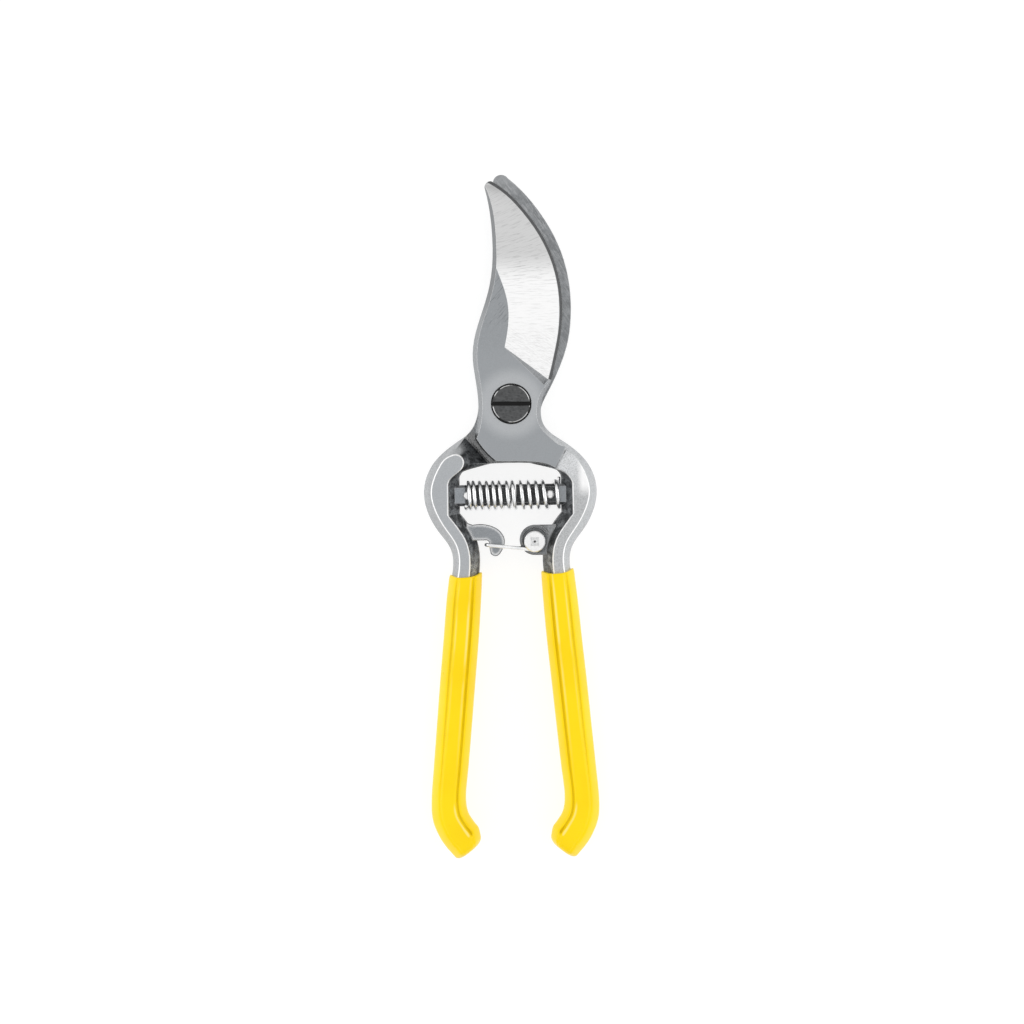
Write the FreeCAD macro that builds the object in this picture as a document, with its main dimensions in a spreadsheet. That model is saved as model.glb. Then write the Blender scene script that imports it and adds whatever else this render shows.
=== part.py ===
import FreeCAD, Part
import Sketcher
import math
import os
from FreeCAD import Placement, Rotation, Vector

# Forged bypass pruner, millimetres, shown latched shut.
# +Y runs from the pivot to the blade's tip, +Z is the face the blade lies on, +X the blade handle.
# The origin is on the pivot axis, in the nut's outer face.
#
# Each arm is one forging. The blade arm's plate lies in front of the parting plane and the hook
# arm's plate behind it, and below the shoulders both handles are thick and centred on that plane.

doc = FreeCAD.newDocument("bypass_pruner")
sheet = doc.addObject("Spreadsheet::Sheet", "Sizes")

SIZES = [
    # arms, measured from the pivot axis
    ("blade_reach", 67.0, "pivot to the blade's tip"),
    ("hook_reach", 68.9, "pivot to the hook's tip"),
    ("handle_reach", 136.6, "pivot to the end of the grips"),
    ("handle_centre", -0.7, "X of the line midway between the handles"),
    ("bow_drop", 26.3, "pivot down to the widest point of the bows"),
    ("bow_half_width", 25.95, "centre line to the outside of a bow"),
    ("waist_drop", 46.5, "pivot down to the waist under the bows"),
    ("waist_half_width", 17.5, "centre line to the outside of the waist"),
    ("waist_width", 8.1, "width of a handle at the waist"),
    ("heel_rise", 16.4, "end of the handle up to its heel"),
    ("heel_half_width", 24.1, "centre line to the outside of the heel"),
    ("heel_width", 8.65, "width of a handle at its heel"),
    # thicknesses
    ("plate_thickness", 4.15, "each arm at the pivot"),
    ("plate_gap", 0.06, "running gap between the two plates"),
    ("handle_thickness", 10.0, "forged handle, front to back"),
    ("land_chamfer", 0.35, "rounding along the flat land"),
    ("trim_band", 0.6, "height of the trimmed forging line"),
    ("plate_draft", 1.3, "how far a plate's side leans in"),
    ("edge_thickness", 0.12, "blade at its cutting edge"),
    ("hone_width", 0.9, "second bevel along the cutting edge"),
    ("hone_rise", 0.4, "height gained over the second bevel"),
    # grips
    ("left_grip_drop", 51.5, "pivot down to the top of the left grip, dipped by hand"),
    ("right_grip_drop", 50.4, "pivot down to the top of the right grip, dipped by hand"),
    ("grip_skin", 1.2, "wall of a dipped grip"),
    # pivot
    ("bolt_radius", 4.0, "shank of the pivot bolt"),
    ("bolt_clearance", 0.05, "running clearance in the blade arm"),
    ("head_radius", 5.75, "bolt head"),
    ("head_height", 2.5, "bolt head"),
    ("head_clearance", 0.3, "round the head in its seat"),
    ("seat_depth", 1.0, "how deep the head is let into the blade arm"),
    ("slot_width", 1.2, "screwdriver slot"),
    ("slot_depth", 1.1, "screwdriver slot"),
    ("nut_height", 3.2, "thin nut"),
    ("nut_across", 13.0, "nut across its flats"),
    ("bolt_recess", 0.3, "bolt end inside the nut's outer face"),
    ("washer_radius", 7.9, "plain washer under the nut"),
    ("washer_thickness", 0.8, "plain washer under the nut"),
    # return spring and the studs that carry it
    ("stud_drop", 27.3, "pivot down to the studs' axis"),
    ("stud_radius", 3.2, "round stud"),
    ("stud_flat", 2.2, "stud's axis to its front or back flat"),
    ("stud_gap", 2.5, "between the ends of the studs"),
    ("seat_half_width", 15.2, "centre line to the face the spring bears on"),
    ("wire_radius", 0.6, "spring wire"),
    ("coil_clearance", 0.28, "between stud and coil"),
    ("coil_turns", 12.5, "turns of the spring"),
    ("spring_end_gap", 0.25, "each end of the spring to its seat"),
    ("pin_radius", 1.25, "pin through a stud"),
    ("pin_proud", 0.9, "pin beyond each flat of the stud"),
    ("left_pin_in", 2.3, "spring seat to the left pin"),
    ("right_pin_in", 3.3, "spring seat to the right pin"),
    # latch
    ("rivet_in", 2.3, "inside of the blade handle's waist to the latch rivet"),
    ("rivet_drop", 41.4, "pivot down to the latch rivet"),
    ("rivet_radius", 1.75, "shank of the latch rivet"),
    ("disc_radius", 3.2, "rivet head and washer"),
    ("disc_thickness", 1.0, "rivet head and washer"),
    ("rivet_square", 2.4, "square end of the rivet"),
    ("rivet_proud", 0.2, "square end beyond the washer"),
    ("ear_radius", 4.55, "ear round the rivet"),
    ("ear_rise", 0.5, "rivet up to the middle of the ear"),
    ("ear_thickness", 4.0, "ear and hook tab, front to back"),
    ("rim_width", 0.75, "raised rim of the ear"),
    ("latch_wire_radius", 0.6, "wire of the latch"),
    ("latch_clearance", 0.08, "round the rivet and beside the ear"),
    ("bar_in", 1.9, "inside of the hook handle's waist to the latch's cross bar"),
    ("bar_fall", 0.8, "cross bar below the rivet"),
    ("latch_corner", 1.3, "bend beside the cross bar"),
    ("lobe_clearance", 0.3, "cross bar to the hook tab"),
]

for row, (name, value, note) in enumerate(SIZES, start=1):
    sheet.set("A%d" % row, name)
    sheet.set("B%d" % row, str(value))
    sheet.set("C%d" % row, note)
    sheet.setAlias("B%d" % row, name)
doc.recompute()


def size(name):
    """A driving dimension, read from the sheet."""
    return float(sheet.get(name))


# Heights, as expressions on the sheet.
HOOK_BACK = "(Sizes.nut_height + Sizes.washer_thickness)"
HOOK_FRONT = "(%s + Sizes.plate_thickness)" % HOOK_BACK
BLADE_BACK = "(%s + Sizes.plate_gap)" % HOOK_FRONT
BLADE_FRONT = "(%s + Sizes.plate_thickness)" % BLADE_BACK
MIDDLE = "(%s + Sizes.plate_gap / 2)" % HOOK_FRONT

# The same heights as numbers, for shapes that part.py sets itself.
hook_back = size("nut_height") + size("washer_thickness")
hook_front = hook_back + size("plate_thickness")
blade_back = hook_front + size("plate_gap")
blade_front = blade_back + size("plate_thickness")
middle = hook_front + size("plate_gap") / 2
centre = size("handle_centre")


# ---------------------------------------------------------------- outlines
# An outline is a list of stretches, each a kind and its points, and each point ends with its
# flank: how far the forging leans in there between the parting line and the flat land.

def inward(outline, share, extra=0.0):
    """The outline moved inwards by a share of each point's flank, and by extra."""
    points = []
    for kind, stretch in outline:
        points.extend(stretch[:-1])
    count = len(points)
    moved = []
    for i, (x, y, flank) in enumerate(points):
        before = points[i - 1]
        after = points[(i + 1) % count]
        along = Vector(after[0] - before[0], after[1] - before[1], 0).normalize()
        reach = share * flank + extra
        moved.append((x + along.y * reach, y - along.x * reach, flank))
    result = []
    start = 0
    for kind, stretch in outline:
        steps = range(start, start + len(stretch))
        result.append((kind, [moved[i % count] for i in steps]))
        start += len(stretch) - 1
    return result


def edges(outline, mirrored=False):
    """The outline's curves in the XY plane; mirrored gives the same shape on the left handle."""
    made = []
    for kind, stretch in outline:
        flip = -1 if mirrored else 1
        points = [Vector(centre + flip * x, y, 0) for x, y, flank in stretch]
        if kind == "line":
            made.append(Part.LineSegment(points[0], points[1]))
        elif kind == "arc":
            made.append(Part.Arc(*points))
        else:
            curve = Part.BSplineCurve()
            curve.interpolate(points)
            made.append(curve)
    return made


def sketch(name, curves, height):
    """A sketch of the curves, level with the XY plane at the height's expression."""
    drawn = doc.addObject("Sketcher::SketchObject", name)
    for curve in curves:
        drawn.addGeometry(curve, False)
    drawn.setExpression("Placement.Base.z", height)
    return drawn


def loft(name, sections):
    """A solid through level sketches, straight from each to the next."""
    solid = doc.addObject("Part::Loft", name)
    solid.Sections = sections
    solid.Solid = True
    solid.Ruled = True
    return solid


def joined(name, pieces):
    whole = doc.addObject("Part::MultiFuse", name)
    whole.Shapes = pieces
    return whole


def without(name, base, tool):
    left = doc.addObject("Part::Cut", name)
    left.Base = base
    left.Tool = tool
    return left


def cylinder(name, radius, height, at, turn=None):
    """A cylinder; radius, height and the three values of at are expressions on the sheet."""
    solid = doc.addObject("Part::Cylinder", name)
    solid.setExpression("Radius", radius)
    solid.setExpression("Height", height)
    if turn:
        solid.Placement = Placement(Vector(), turn)
    for letter, value in zip("xyz", at):
        solid.setExpression("Placement.Base.%s" % letter, value)
    return solid


def box(name, length, width, height, at):
    """A box; every size and place is an expression on the sheet."""
    solid = doc.addObject("Part::Box", name)
    solid.setExpression("Length", length)
    solid.setExpression("Width", width)
    solid.setExpression("Height", height)
    for letter, value in zip("xyz", at):
        solid.setExpression("Placement.Base.%s" % letter, value)
    return solid


# ---------------------------------------------------------------- forged handles
# Both handles have one outline, drawn here from the centre line out to the right. It starts at
# the shoulder, follows the outside down to the toe and comes back up the inside.

def handle_outline():
    bow = size("bow_half_width")
    waist = size("waist_half_width")
    heel = size("heel_half_width")
    waist_y = -size("waist_drop")
    bow_y = -size("bow_drop")
    toe_y = -(size("handle_reach") - size("grip_skin"))
    heel_y = toe_y + size("heel_rise")
    seat = size("seat_half_width")
    stud_y = -size("stud_drop")
    waist_in = waist - size("waist_width")
    heel_in = heel - size("heel_width")
    half_way = (waist_y + heel_y) / 2
    outside = [
        (13.1, -9.4, 1.7),
        (bow - 7.6, bow_y + 13.3, 1.9),
        (bow - 2.9, bow_y + 8.7, 2.0),
        (bow, bow_y, 2.1),
        (bow - 1.2, bow_y - 6.2, 2.2),
        ((bow + waist) / 2 - 0.2, (bow_y + waist_y) / 2 - 1.9, 2.1),
        (waist + 0.75, waist_y + 3.4, 1.9),
        (waist, waist_y, 1.8),
        (waist + 0.85, waist_y - 7.0, 1.8),
        ((waist + heel) / 2 + 0.3, half_way, 2.0),
        (heel - 0.75, heel_y + 11.0, 2.1),
        (heel, heel_y, 2.2),
        (heel - 0.35, heel_y - 5.2, 2.3),
        (heel - 2.3, heel_y - 10.4, 2.2),
        (heel - 5.3, heel_y - 14.3, 1.4),
    ]
    toe = [outside[-1], (heel - 7.4, toe_y, 1.3), (heel - 9.7, heel_y - 14.8, 1.4)]
    inside = [
        toe[-1],
        (heel_in - 3.1, heel_y - 11.6, 1.8),
        (heel_in - 3.4, heel_y - 8.6, 2.0),
        (heel_in - 1.2, heel_y - 4.4, 2.1),
        (heel_in, heel_y, 2.2),
        (heel_in - 0.35, heel_y + 6.2, 2.2),
        ((waist_in + heel_in) / 2 + 0.05, half_way, 2.5),
        (waist_in + 0.45, waist_y - 6.0, 2.8),
        (waist_in, waist_y + 0.5, 2.9),
        (waist_in + 1.3, waist_y + 7.0, 3.1),
        (seat - 2.5, stud_y - 8.5, 3.2),
        (seat, stud_y - 5.3, 3.5),
    ]
    spring_seat = [inside[-1], (seat, stud_y + 5.4, 3.4)]
    window = [
        spring_seat[-1],
        (seat - 1.0, stud_y + 7.1, 2.0),
        (seat - 3.4, stud_y + 8.4, 1.2),
        (9.4, -18.4, 0.9),
        (5.8, -17.8, 0.7),
    ]
    return [
        ("curve", outside),
        ("arc", toe),
        ("curve", inside),
        ("line", spring_seat),
        ("curve", window),
    ]


def shoulder_end(outline, nose):
    """Closes an outline across the shoulder by an arc over the nose."""
    first = outline[0][1][0]
    last = outline[-1][1][-1]
    middle_x = (first[0] + last[0]) / 2 + nose[0]
    middle_y = (first[1] + last[1]) / 2 + nose[1]
    return outline + [("arc", [last, (middle_x, middle_y, 1.0), first])]


def land_outline(chamfer, meets_plate):
    """The flat land of a handle.

    Its upper end is a rounded finger below the shoulder, or runs straight into the flat of its
    own plate where meets_plate is true.
    """
    bow = size("bow_half_width")
    bow_y = -size("bow_drop")
    seat = size("seat_half_width") + chamfer
    stud_y = -size("stud_drop")
    whole = inward(shoulder_end(handle_outline(), SHOULDER_NOSE), 1.0, chamfer)[:-1]
    outside = list(whole[0][1])
    outside[0] = (bow - 8.55 - chamfer / 2, bow_y + 11.2 - chamfer, 0)
    outside[1] = (bow - 5.75 - chamfer / 2, bow_y + 9.4 - chamfer, 0)
    whole[0] = ("curve", outside)
    seat_top = (seat + 3.4, stud_y + 3.3, 0)
    whole[-2] = ("line", [whole[-2][1][0], seat_top])
    upper = [seat_top, (seat + 2.1, stud_y + 5.6, 0)]
    if meets_plate:
        upper += [(seat + 0.6, stud_y + 6.8, 0), (seat - 0.9, stud_y + 7.4, 0)]
        nose = (-0.3 + chamfer / 2, 0.15 - chamfer / 2)
    else:
        upper += [(seat - 0.3, stud_y + 7.5, 0), (bow - 12.15 + chamfer, bow_y + 8.4, 0)]
        nose = (-1.3 + chamfer / 2, 0.75 - chamfer / 2)
    whole[-1] = ("curve", upper)
    return shoulder_end(whole, nose)


SHOULDER_NOSE = (-0.25, -0.25)
HALF = "Sizes.handle_thickness / 2"
HANDLE_LEVELS = [
    ("back_land", "%s - %s" % (MIDDLE, HALF)),
    ("back_shoulder", "%s - %s + Sizes.land_chamfer" % (MIDDLE, HALF)),
    ("parting", "%s - Sizes.trim_band / 2" % MIDDLE),
    ("parting", "%s + Sizes.trim_band / 2" % MIDDLE),
    ("front_shoulder", "%s + %s - Sizes.land_chamfer" % (MIDDLE, HALF)),
    ("front_land", "%s + %s" % (MIDDLE, HALF)),
]


def handle(side, mirrored, plate_in_front):
    """The thick part of one forging, from its shoulder to its toe."""
    chamfer = size("land_chamfer")
    shapes = {
        "parting": shoulder_end(handle_outline(), SHOULDER_NOSE),
        "front_shoulder": land_outline(0.0, plate_in_front),
        "front_land": land_outline(chamfer, plate_in_front),
        "back_shoulder": land_outline(0.0, not plate_in_front),
        "back_land": land_outline(chamfer, not plate_in_front),
    }
    sections = []
    for level, (shape, height) in enumerate(HANDLE_LEVELS):
        curves = edges(shapes[shape], mirrored)
        sections.append(sketch("%s_handle_%d" % (side, level), curves, height))
    return loft("%s_handle" % side, sections)


# ---------------------------------------------------------------- plates, blade and hook
# Plate outlines are in the row's own X and Y. They run clockwise from the tip down the right side.
# Above the pivot they are drawn for a blade and a hook of 1 and stretched to their reach.

BLADE_EDGE = [
    (-4.9, 1.000), (0.0, 0.948), (5.0, 0.868), (10.0, 0.760), (13.6, 0.641),
    (15.5, 0.517), (15.85, 0.412), (15.2, 0.303), (13.9, 0.210), (12.75, 0.139),
]


def blade_outline():
    reach = size("blade_reach")
    draft = size("plate_draft")
    edge = [(x, share * reach, 0.0) for x, share in BLADE_EDGE]
    neck = [
        edge[-1],
        (12.2, 0.100 * reach, 0.5 * draft),
        (10.5, 3.4, 0.9 * draft),
        (9.2, 0.2, draft),
        (8.85, -3.0, draft),
        (9.9, -6.8, draft),
        (12.4, -9.4, draft),
        (14.9, -11.3, 1.1 * draft),
        (17.6, -13.1, 1.2 * draft),
    ]
    inside_handle = [neck[-1], (14.2, -20.4, 0.5)]
    bottom = [
        inside_handle[-1],
        (11.0, -18.9, 0.5),
        (7.0, -18.0, 0.5),
        (2.0, -17.7, 0.5),
        (-4.9, -17.5, 0.5),
    ]
    corner = [bottom[-1], (-8.4, -14.1, 0.4), (-11.0, -10.5, 0.5)]
    back = [
        corner[-1],
        (-10.9, -7.6, draft),
        (-10.1, -3.5, draft),
        (-9.9, 1.0, draft),
        (-10.7, 0.120 * reach, draft),
        (-11.35, 0.217 * reach, draft),
        (-10.6, 0.307 * reach, draft),
        (-8.2, 0.420 * reach, draft),
        (-6.2, 0.517 * reach, draft),
        (-5.0, 0.630 * reach, draft),
        (-4.9, 0.750 * reach, draft),
        (-5.75, 0.885 * reach, draft),
        (-6.95, 0.970 * reach, 0.5 * draft),
    ]
    tip = [back[-1], (-6.5, 0.991 * reach, 0.3), edge[0]]
    return [
        ("curve", edge),
        ("curve", neck),
        ("line", inside_handle),
        ("curve", bottom),
        ("arc", corner),
        ("curve", back),
        ("arc", tip),
    ]


def hook_outline():
    reach = size("hook_reach")
    draft = size("plate_draft")
    outside = [
        (0.1, 0.984 * reach, 0.5),
        (5.1, 0.915 * reach, 0.8),
        (9.6, 0.831 * reach, 0.9),
        (13.8, 0.727 * reach, 0.9),
        (16.8, 0.610 * reach, 0.9),
        (18.25, 0.486 * reach, 0.9),
        (18.3, 0.370 * reach, 0.9),
        (17.2, 0.261 * reach, 0.9),
        (15.2, 0.174 * reach, 0.9),
        (12.8, 0.096 * reach, draft),
        (10.3, 1.9, draft),
        (8.8, -1.8, draft),
        (8.7, -4.5, draft),
        (9.75, -8.0, draft),
        (9.8, -10.5, 0.5),
    ]
    corner = [outside[-1], (7.2, -14.1, 0.4), (3.7, -17.5, 0.5)]
    bottom = [
        corner[-1],
        (-3.2, -17.7, 0.5),
        (-8.4, -18.0, 0.5),
        (-12.4, -18.9, 0.5),
        (-15.6, -20.4, 0.5),
    ]
    inside_handle = [bottom[-1], (-19.0, -13.1, 1.2 * draft)]
    neck = [
        inside_handle[-1],
        (-16.3, -11.3, 1.1 * draft),
        (-13.8, -9.4, draft),
        (-11.6, -6.8, draft),
        (-10.2, -3.0, draft),
        (-9.7, 0.5, draft),
    ]
    throat = [
        neck[-1],
        (-8.4, 5.5, draft),
        (-5.0, 0.145 * reach, draft),
        (0.8, 0.190 * reach, 0.9),
        (6.6, 0.245 * reach, 0.6),
        (10.2, 0.335 * reach, 0.5),
        (11.5, 0.460 * reach, 0.5),
        (10.6, 0.595 * reach, 0.5),
        (7.2, 0.730 * reach, 0.5),
        (1.8, 0.860 * reach, 0.4),
        (-4.4, 0.957 * reach, 0.4),
    ]
    tip = [throat[-1], (-3.5, 0.992 * reach, 0.4), outside[0]]
    return [
        ("curve", outside),
        ("arc", corner),
        ("curve", bottom),
        ("line", inside_handle),
        ("curve", neck),
        ("curve", throat),
        ("arc", tip),
    ]


def plain_edges(outline):
    """The curves of an outline given in the row's own X and Y."""
    return edges([(kind, [(x - centre, y, flank) for x, y, flank in stretch])
                  for kind, stretch in outline])


def plate(side, outline, parting, outer):
    """A plate: its full outline in the parting face, its drafted one in the outer face."""
    full = sketch("%s_plate_full" % side, plain_edges(outline), parting)
    leaning = sketch("%s_plate_outer" % side, plain_edges(inward(outline, 1.0)), outer)
    return loft("%s_plate" % side, [full, leaning])


def curve_at(points, height_of):
    """A smooth curve through points at the heights that height_of gives."""
    curve = Part.BSplineCurve()
    curve.interpolate([Vector(x, y, height_of) for x, y in points])
    return curve.toShape()


def blade_grind():
    """What the grinding wheel takes off the blade: the wide bevel, its run-out and the hone."""
    reach = size("blade_reach")
    hone = size("hone_width")
    slope = size("hone_rise") / hone
    edge = [(-9.2, 1.035 * reach, 0.0)]
    edge += [(x, share * reach, 0.0) for x, share in BLADE_EDGE]
    edge += [(12.1, 0.104 * reach, 0.0)]
    outer_reach = 0.6
    outside = []
    inside = []
    for i, (x, y, flank) in enumerate(edge):
        before = edge[max(i - 1, 0)]
        after = edge[min(i + 1, len(edge) - 1)]
        along = Vector(after[0] - before[0], after[1] - before[1], 0).normalize()
        outside.append((x - along.y * outer_reach, y + along.x * outer_reach))
        inside.append((x + along.y * hone, y - along.x * hone))
    sharp = blade_back + size("edge_thickness")
    low = curve_at(outside, sharp - outer_reach * slope)
    shoulder = curve_at(inside, sharp + size("hone_rise"))
    crest = [
        (-12.5, 1.035 * reach), (-9.3, 0.915 * reach), (-6.5, 0.760 * reach),
        (-3.8, 0.607 * reach), (-1.7, 0.520 * reach), (-0.5, 0.440 * reach),
        (-0.4, 0.375 * reach), (-1.0, 0.305 * reach), (-1.7, 0.253 * reach),
    ]
    top = curve_at(crest, blade_front)
    up = Vector(0, 0, 2 * size("plate_thickness"))
    hone_cut = Part.makeRuledSurface(low, shoulder).extrude(up)
    bevel_cut = Part.makeRuledSurface(shoulder, top).extrude(up)
    # The wheel leaves a sloping run-out that grows from nothing at the crest to the heel.
    root = Vector(crest[-1][0], crest[-1][1], blade_front)
    heel = Vector(inside[-1][0], inside[-1][1], sharp + size("hone_rise"))
    run = Vector(heel.x - root.x, heel.y - root.y, 0).normalize()
    shelf = Vector(heel.x + 2.2 * run.y, heel.y - 2.2 * run.x, blade_front)
    side = Part.Face(Part.makePolygon([root, heel, shelf, root]))
    return [hone_cut, bevel_cut, side.extrude(up)]


def stored(name, shape):
    """A shape that part.py has made itself, as an object of the document."""
    kept = doc.addObject("Part::Feature", name)
    kept.Shape = shape
    return kept


# ---------------------------------------------------------------- studs, pins, ear and hook tab

ALONG_X = Rotation(Vector(0, 1, 0), 90)


def stud(side, start, length, root):
    """A round stud with flats front and back, along X; its flats end rounded at the root."""
    round_bar = cylinder("%s_stud_bar" % side, "Sizes.stud_radius", length,
                         (start, "-Sizes.stud_drop", MIDDLE), ALONG_X)
    flats = box("%s_stud_flats" % side, length, "2 * Sizes.stud_radius", "2 * Sizes.stud_flat",
                (start, "-Sizes.stud_drop - Sizes.stud_radius", MIDDLE + " - Sizes.stud_flat"))
    # The rounding is a circle round the last pad's middle, and the rest lies inside the coil.
    inwards = "+" if side == "left" else "-"
    pad = cylinder("%s_stud_pad" % side, "Sizes.stud_radius", "2 * Sizes.stud_radius",
                   ("%s %s Sizes.stud_radius" % (root, inwards), "-Sizes.stud_drop",
                    MIDDLE + " - Sizes.stud_radius"))
    shank_start = root + " + Sizes.stud_radius" if side == "left" else start
    shank = box("%s_stud_shank" % side, length + " - Sizes.stud_radius",
                "2 * Sizes.stud_radius", "2 * Sizes.stud_radius",
                (shank_start, "-Sizes.stud_drop - Sizes.stud_radius",
                 MIDDLE + " - Sizes.stud_radius"))
    both = doc.addObject("Part::MultiCommon", "%s_stud" % side)
    both.Shapes = [round_bar, flats, joined("%s_stud_plan" % side, [pad, shank])]
    return both


ROOT_LEFT = "(Sizes.handle_centre - Sizes.seat_half_width - 2.6)"
ROOT_RIGHT = "(Sizes.handle_centre + Sizes.seat_half_width + 3.7)"
LEFT_PIN = ("Sizes.handle_centre - Sizes.seat_half_width + Sizes.left_pin_in", "-Sizes.stud_drop")
RIGHT_PIN = ("Sizes.handle_centre + Sizes.seat_half_width - Sizes.right_pin_in", "-Sizes.stud_drop")
WAIST_INSIDE = "(Sizes.waist_half_width - Sizes.waist_width)"
RIVET = ("(Sizes.handle_centre + %s - Sizes.rivet_in)" % WAIST_INSIDE, "-Sizes.rivet_drop")
BAR = ("(Sizes.handle_centre - %s + Sizes.bar_in)" % WAIST_INSIDE,
       "(-Sizes.rivet_drop - Sizes.bar_fall)")


def number(expression):
    """An expression on the sheet as a number."""
    value = sheet.evalExpression(expression.replace("Sizes.", ""))
    return float(getattr(value, "Value", value))


def point(at):
    """A pair of expressions on the sheet as a point in the XY plane."""
    return Vector(number(at[0]), number(at[1]), 0)


def through(name, radius, at, bottom="-Sizes.handle_thickness"):
    """A cylinder along Z that goes right through the tool, or from bottom out of its front."""
    return cylinder(name, radius, "4 * Sizes.handle_thickness", (at[0], at[1], bottom))


def turned(name, profile, at=None):
    """A turned body: each corner of the profile is a radius and a height, both expressions."""
    body = doc.addObject("PartDesign::Body", name)
    plane = [item for item in body.Origin.OriginFeatures if item.Role == "XZ_Plane"][0]
    drawn = body.newObject("Sketcher::SketchObject", name + "_profile")
    drawn.AttachmentSupport = (plane, [""])
    drawn.MapMode = "FlatFace"
    corners = [Vector(number(radius), number(height), 0) for radius, height in profile]
    count = len(corners)
    for i in range(count):
        drawn.addGeometry(Part.LineSegment(corners[i], corners[(i + 1) % count]), False)
    for i in range(count):
        drawn.addConstraint(Sketcher.Constraint("Coincident", i, 2, (i + 1) % count, 1))
    for i, (radius, height) in enumerate(profile):
        for kind, expression in (("DistanceX", radius), ("DistanceY", height)):
            made = drawn.addConstraint(
                Sketcher.Constraint(kind, -1, 1, i, 1, number(expression)))
            drawn.setExpression("Constraints[%d]" % made, expression)
    spun = body.newObject("PartDesign::Revolution", name + "_turning")
    spun.Profile = drawn
    spun.ReferenceAxis = (drawn, ["V_Axis"])
    spun.Angle = 360
    if at:
        body.setExpression("Placement.Base.x", at[0])
        body.setExpression("Placement.Base.y", at[1])
    return body


def spring_pin(name, at):
    """A plain pin with domed ends, pressed through a stud."""
    reach = "(Sizes.stud_flat + Sizes.pin_proud)"
    low = "%s - %s" % (MIDDLE, reach)
    high = "%s + %s" % (MIDDLE, reach)
    return turned(name, [
        ("0", low),
        ("Sizes.pin_radius * 0.6", low),
        ("Sizes.pin_radius * 0.9", low + " + Sizes.pin_radius * 0.2"),
        ("Sizes.pin_radius", low + " + Sizes.pin_radius * 0.45"),
        ("Sizes.pin_radius", high + " - Sizes.pin_radius * 0.45"),
        ("Sizes.pin_radius * 0.9", high + " - Sizes.pin_radius * 0.2"),
        ("Sizes.pin_radius * 0.6", high),
        ("0", high),
    ], at)


def ear():
    """The ear round the rivet, with a raised rim that stops the latch, and its web."""
    half = "Sizes.ear_thickness / 2"
    step = "(2 * (Sizes.latch_wire_radius + Sizes.latch_clearance))"
    across = RIVET[0]
    along = RIVET[1] + " + Sizes.ear_rise"
    disc = cylinder("ear_disc", "Sizes.ear_radius", "Sizes.ear_thickness",
                    (across, along, "%s - %s" % (MIDDLE, half)))
    # The web runs from the middle of the ear to the middle of the handle.
    web = box("ear_web",
              "Sizes.handle_centre + Sizes.waist_half_width - Sizes.waist_width / 2 - " + across,
              "2 * Sizes.ear_radius", "Sizes.ear_thickness",
              (across, along + " - Sizes.ear_radius", "%s - %s" % (MIDDLE, half)))
    rim_height = "Sizes.ear_thickness + 2 * " + step
    rim_low = "%s - %s - %s" % (MIDDLE, half, step)
    rim_outer = cylinder("ear_rim_outer", "Sizes.ear_radius", rim_height,
                         (across, along, rim_low), Rotation(Vector(0, 0, 1), 25))
    rim_outer.Angle = 175
    rim_inner = cylinder("ear_rim_inner", "Sizes.ear_radius - Sizes.rim_width", rim_height,
                         (across, along, rim_low))
    return [disc, web, without("ear_rim", rim_outer, rim_inner)]


def hook_tab():
    """The tab that the latch's cross bar drops behind; its lobe is concentric with the swing."""
    rivet = point(RIVET)
    bar = point(BAR)
    radius = bar.distanceToPoint(rivet) - size("latch_wire_radius") - size("lobe_clearance")
    start = math.asin(-0.1 / radius)
    finish = math.asin(3.5 / radius)

    def lobe(angle):
        return rivet - Vector(radius * math.cos(angle), radius * math.sin(angle), 0)

    root = centre - (size("waist_half_width") - size("waist_width")) - 4.0
    notch_y = bar.y + size("latch_wire_radius") + 0.8
    top = [Vector(root, bar.y + 6.8, 0), Vector(bar.x - 4.0, bar.y + 6.1, 0)]
    nose = [
        top[-1],
        bar + Vector(1.6, 5.7, 0),
        bar + Vector(4.4, 3.9, 0),
        bar + Vector(5.6, 1.2, 0),
        bar + Vector(4.9, -1.4, 0),
        bar + Vector(3.3, -3.3, 0),
        lobe(finish),
    ]
    nose_curve = Part.BSplineCurve()
    nose_curve.interpolate(nose)
    notch = Vector(lobe(start).x - 0.6, notch_y, 0)
    curves = [
        Part.LineSegment(top[0], top[1]),
        nose_curve,
        Part.Arc(lobe(finish), lobe((start + finish) / 2), lobe(start)),
        Part.LineSegment(lobe(start), notch),
        Part.LineSegment(notch, Vector(root, notch_y, 0)),
        Part.LineSegment(Vector(root, notch_y, 0), top[0]),
    ]
    drawn = sketch("hook_tab_outline", curves, MIDDLE + " - Sizes.ear_thickness / 2")
    tab = doc.addObject("Part::Extrusion", "hook_tab")
    tab.Base = drawn
    tab.DirMode = "Custom"
    tab.Dir = Vector(0, 0, 1)
    tab.Solid = True
    tab.setExpression("LengthFwd", "Sizes.ear_thickness")
    return tab


# ---------------------------------------------------------------- the two forgings

STUD_MEET = "(Sizes.handle_centre + 0.45)"


def blade_arm():
    body = plate("blade", blade_outline(), BLADE_BACK, BLADE_FRONT)
    for i, cut in enumerate(blade_grind()):
        body = without("blade_ground_%d" % i, body, stored("blade_grind_%d" % i, cut))
    start = "(%s + Sizes.stud_gap / 2)" % STUD_MEET
    reach = "%s - %s" % (ROOT_RIGHT, start)
    pieces = [body, handle("right", False, True), stud("right", start, reach, ROOT_RIGHT)] + ear()
    whole = joined("blade_forging", pieces)
    holes = joined("blade_arm_holes", [
        through("blade_pivot_bore", "Sizes.bolt_radius + Sizes.bolt_clearance", ("0", "0")),
        through("blade_head_seat", "Sizes.head_radius + Sizes.head_clearance", ("0", "0"),
                bottom=BLADE_FRONT + " - Sizes.seat_depth"),
        through("right_pin_hole", "Sizes.pin_radius", RIGHT_PIN),
        through("rivet_hole", "Sizes.rivet_radius", RIVET),
    ])
    return without("blade_arm", whole, holes)


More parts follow.
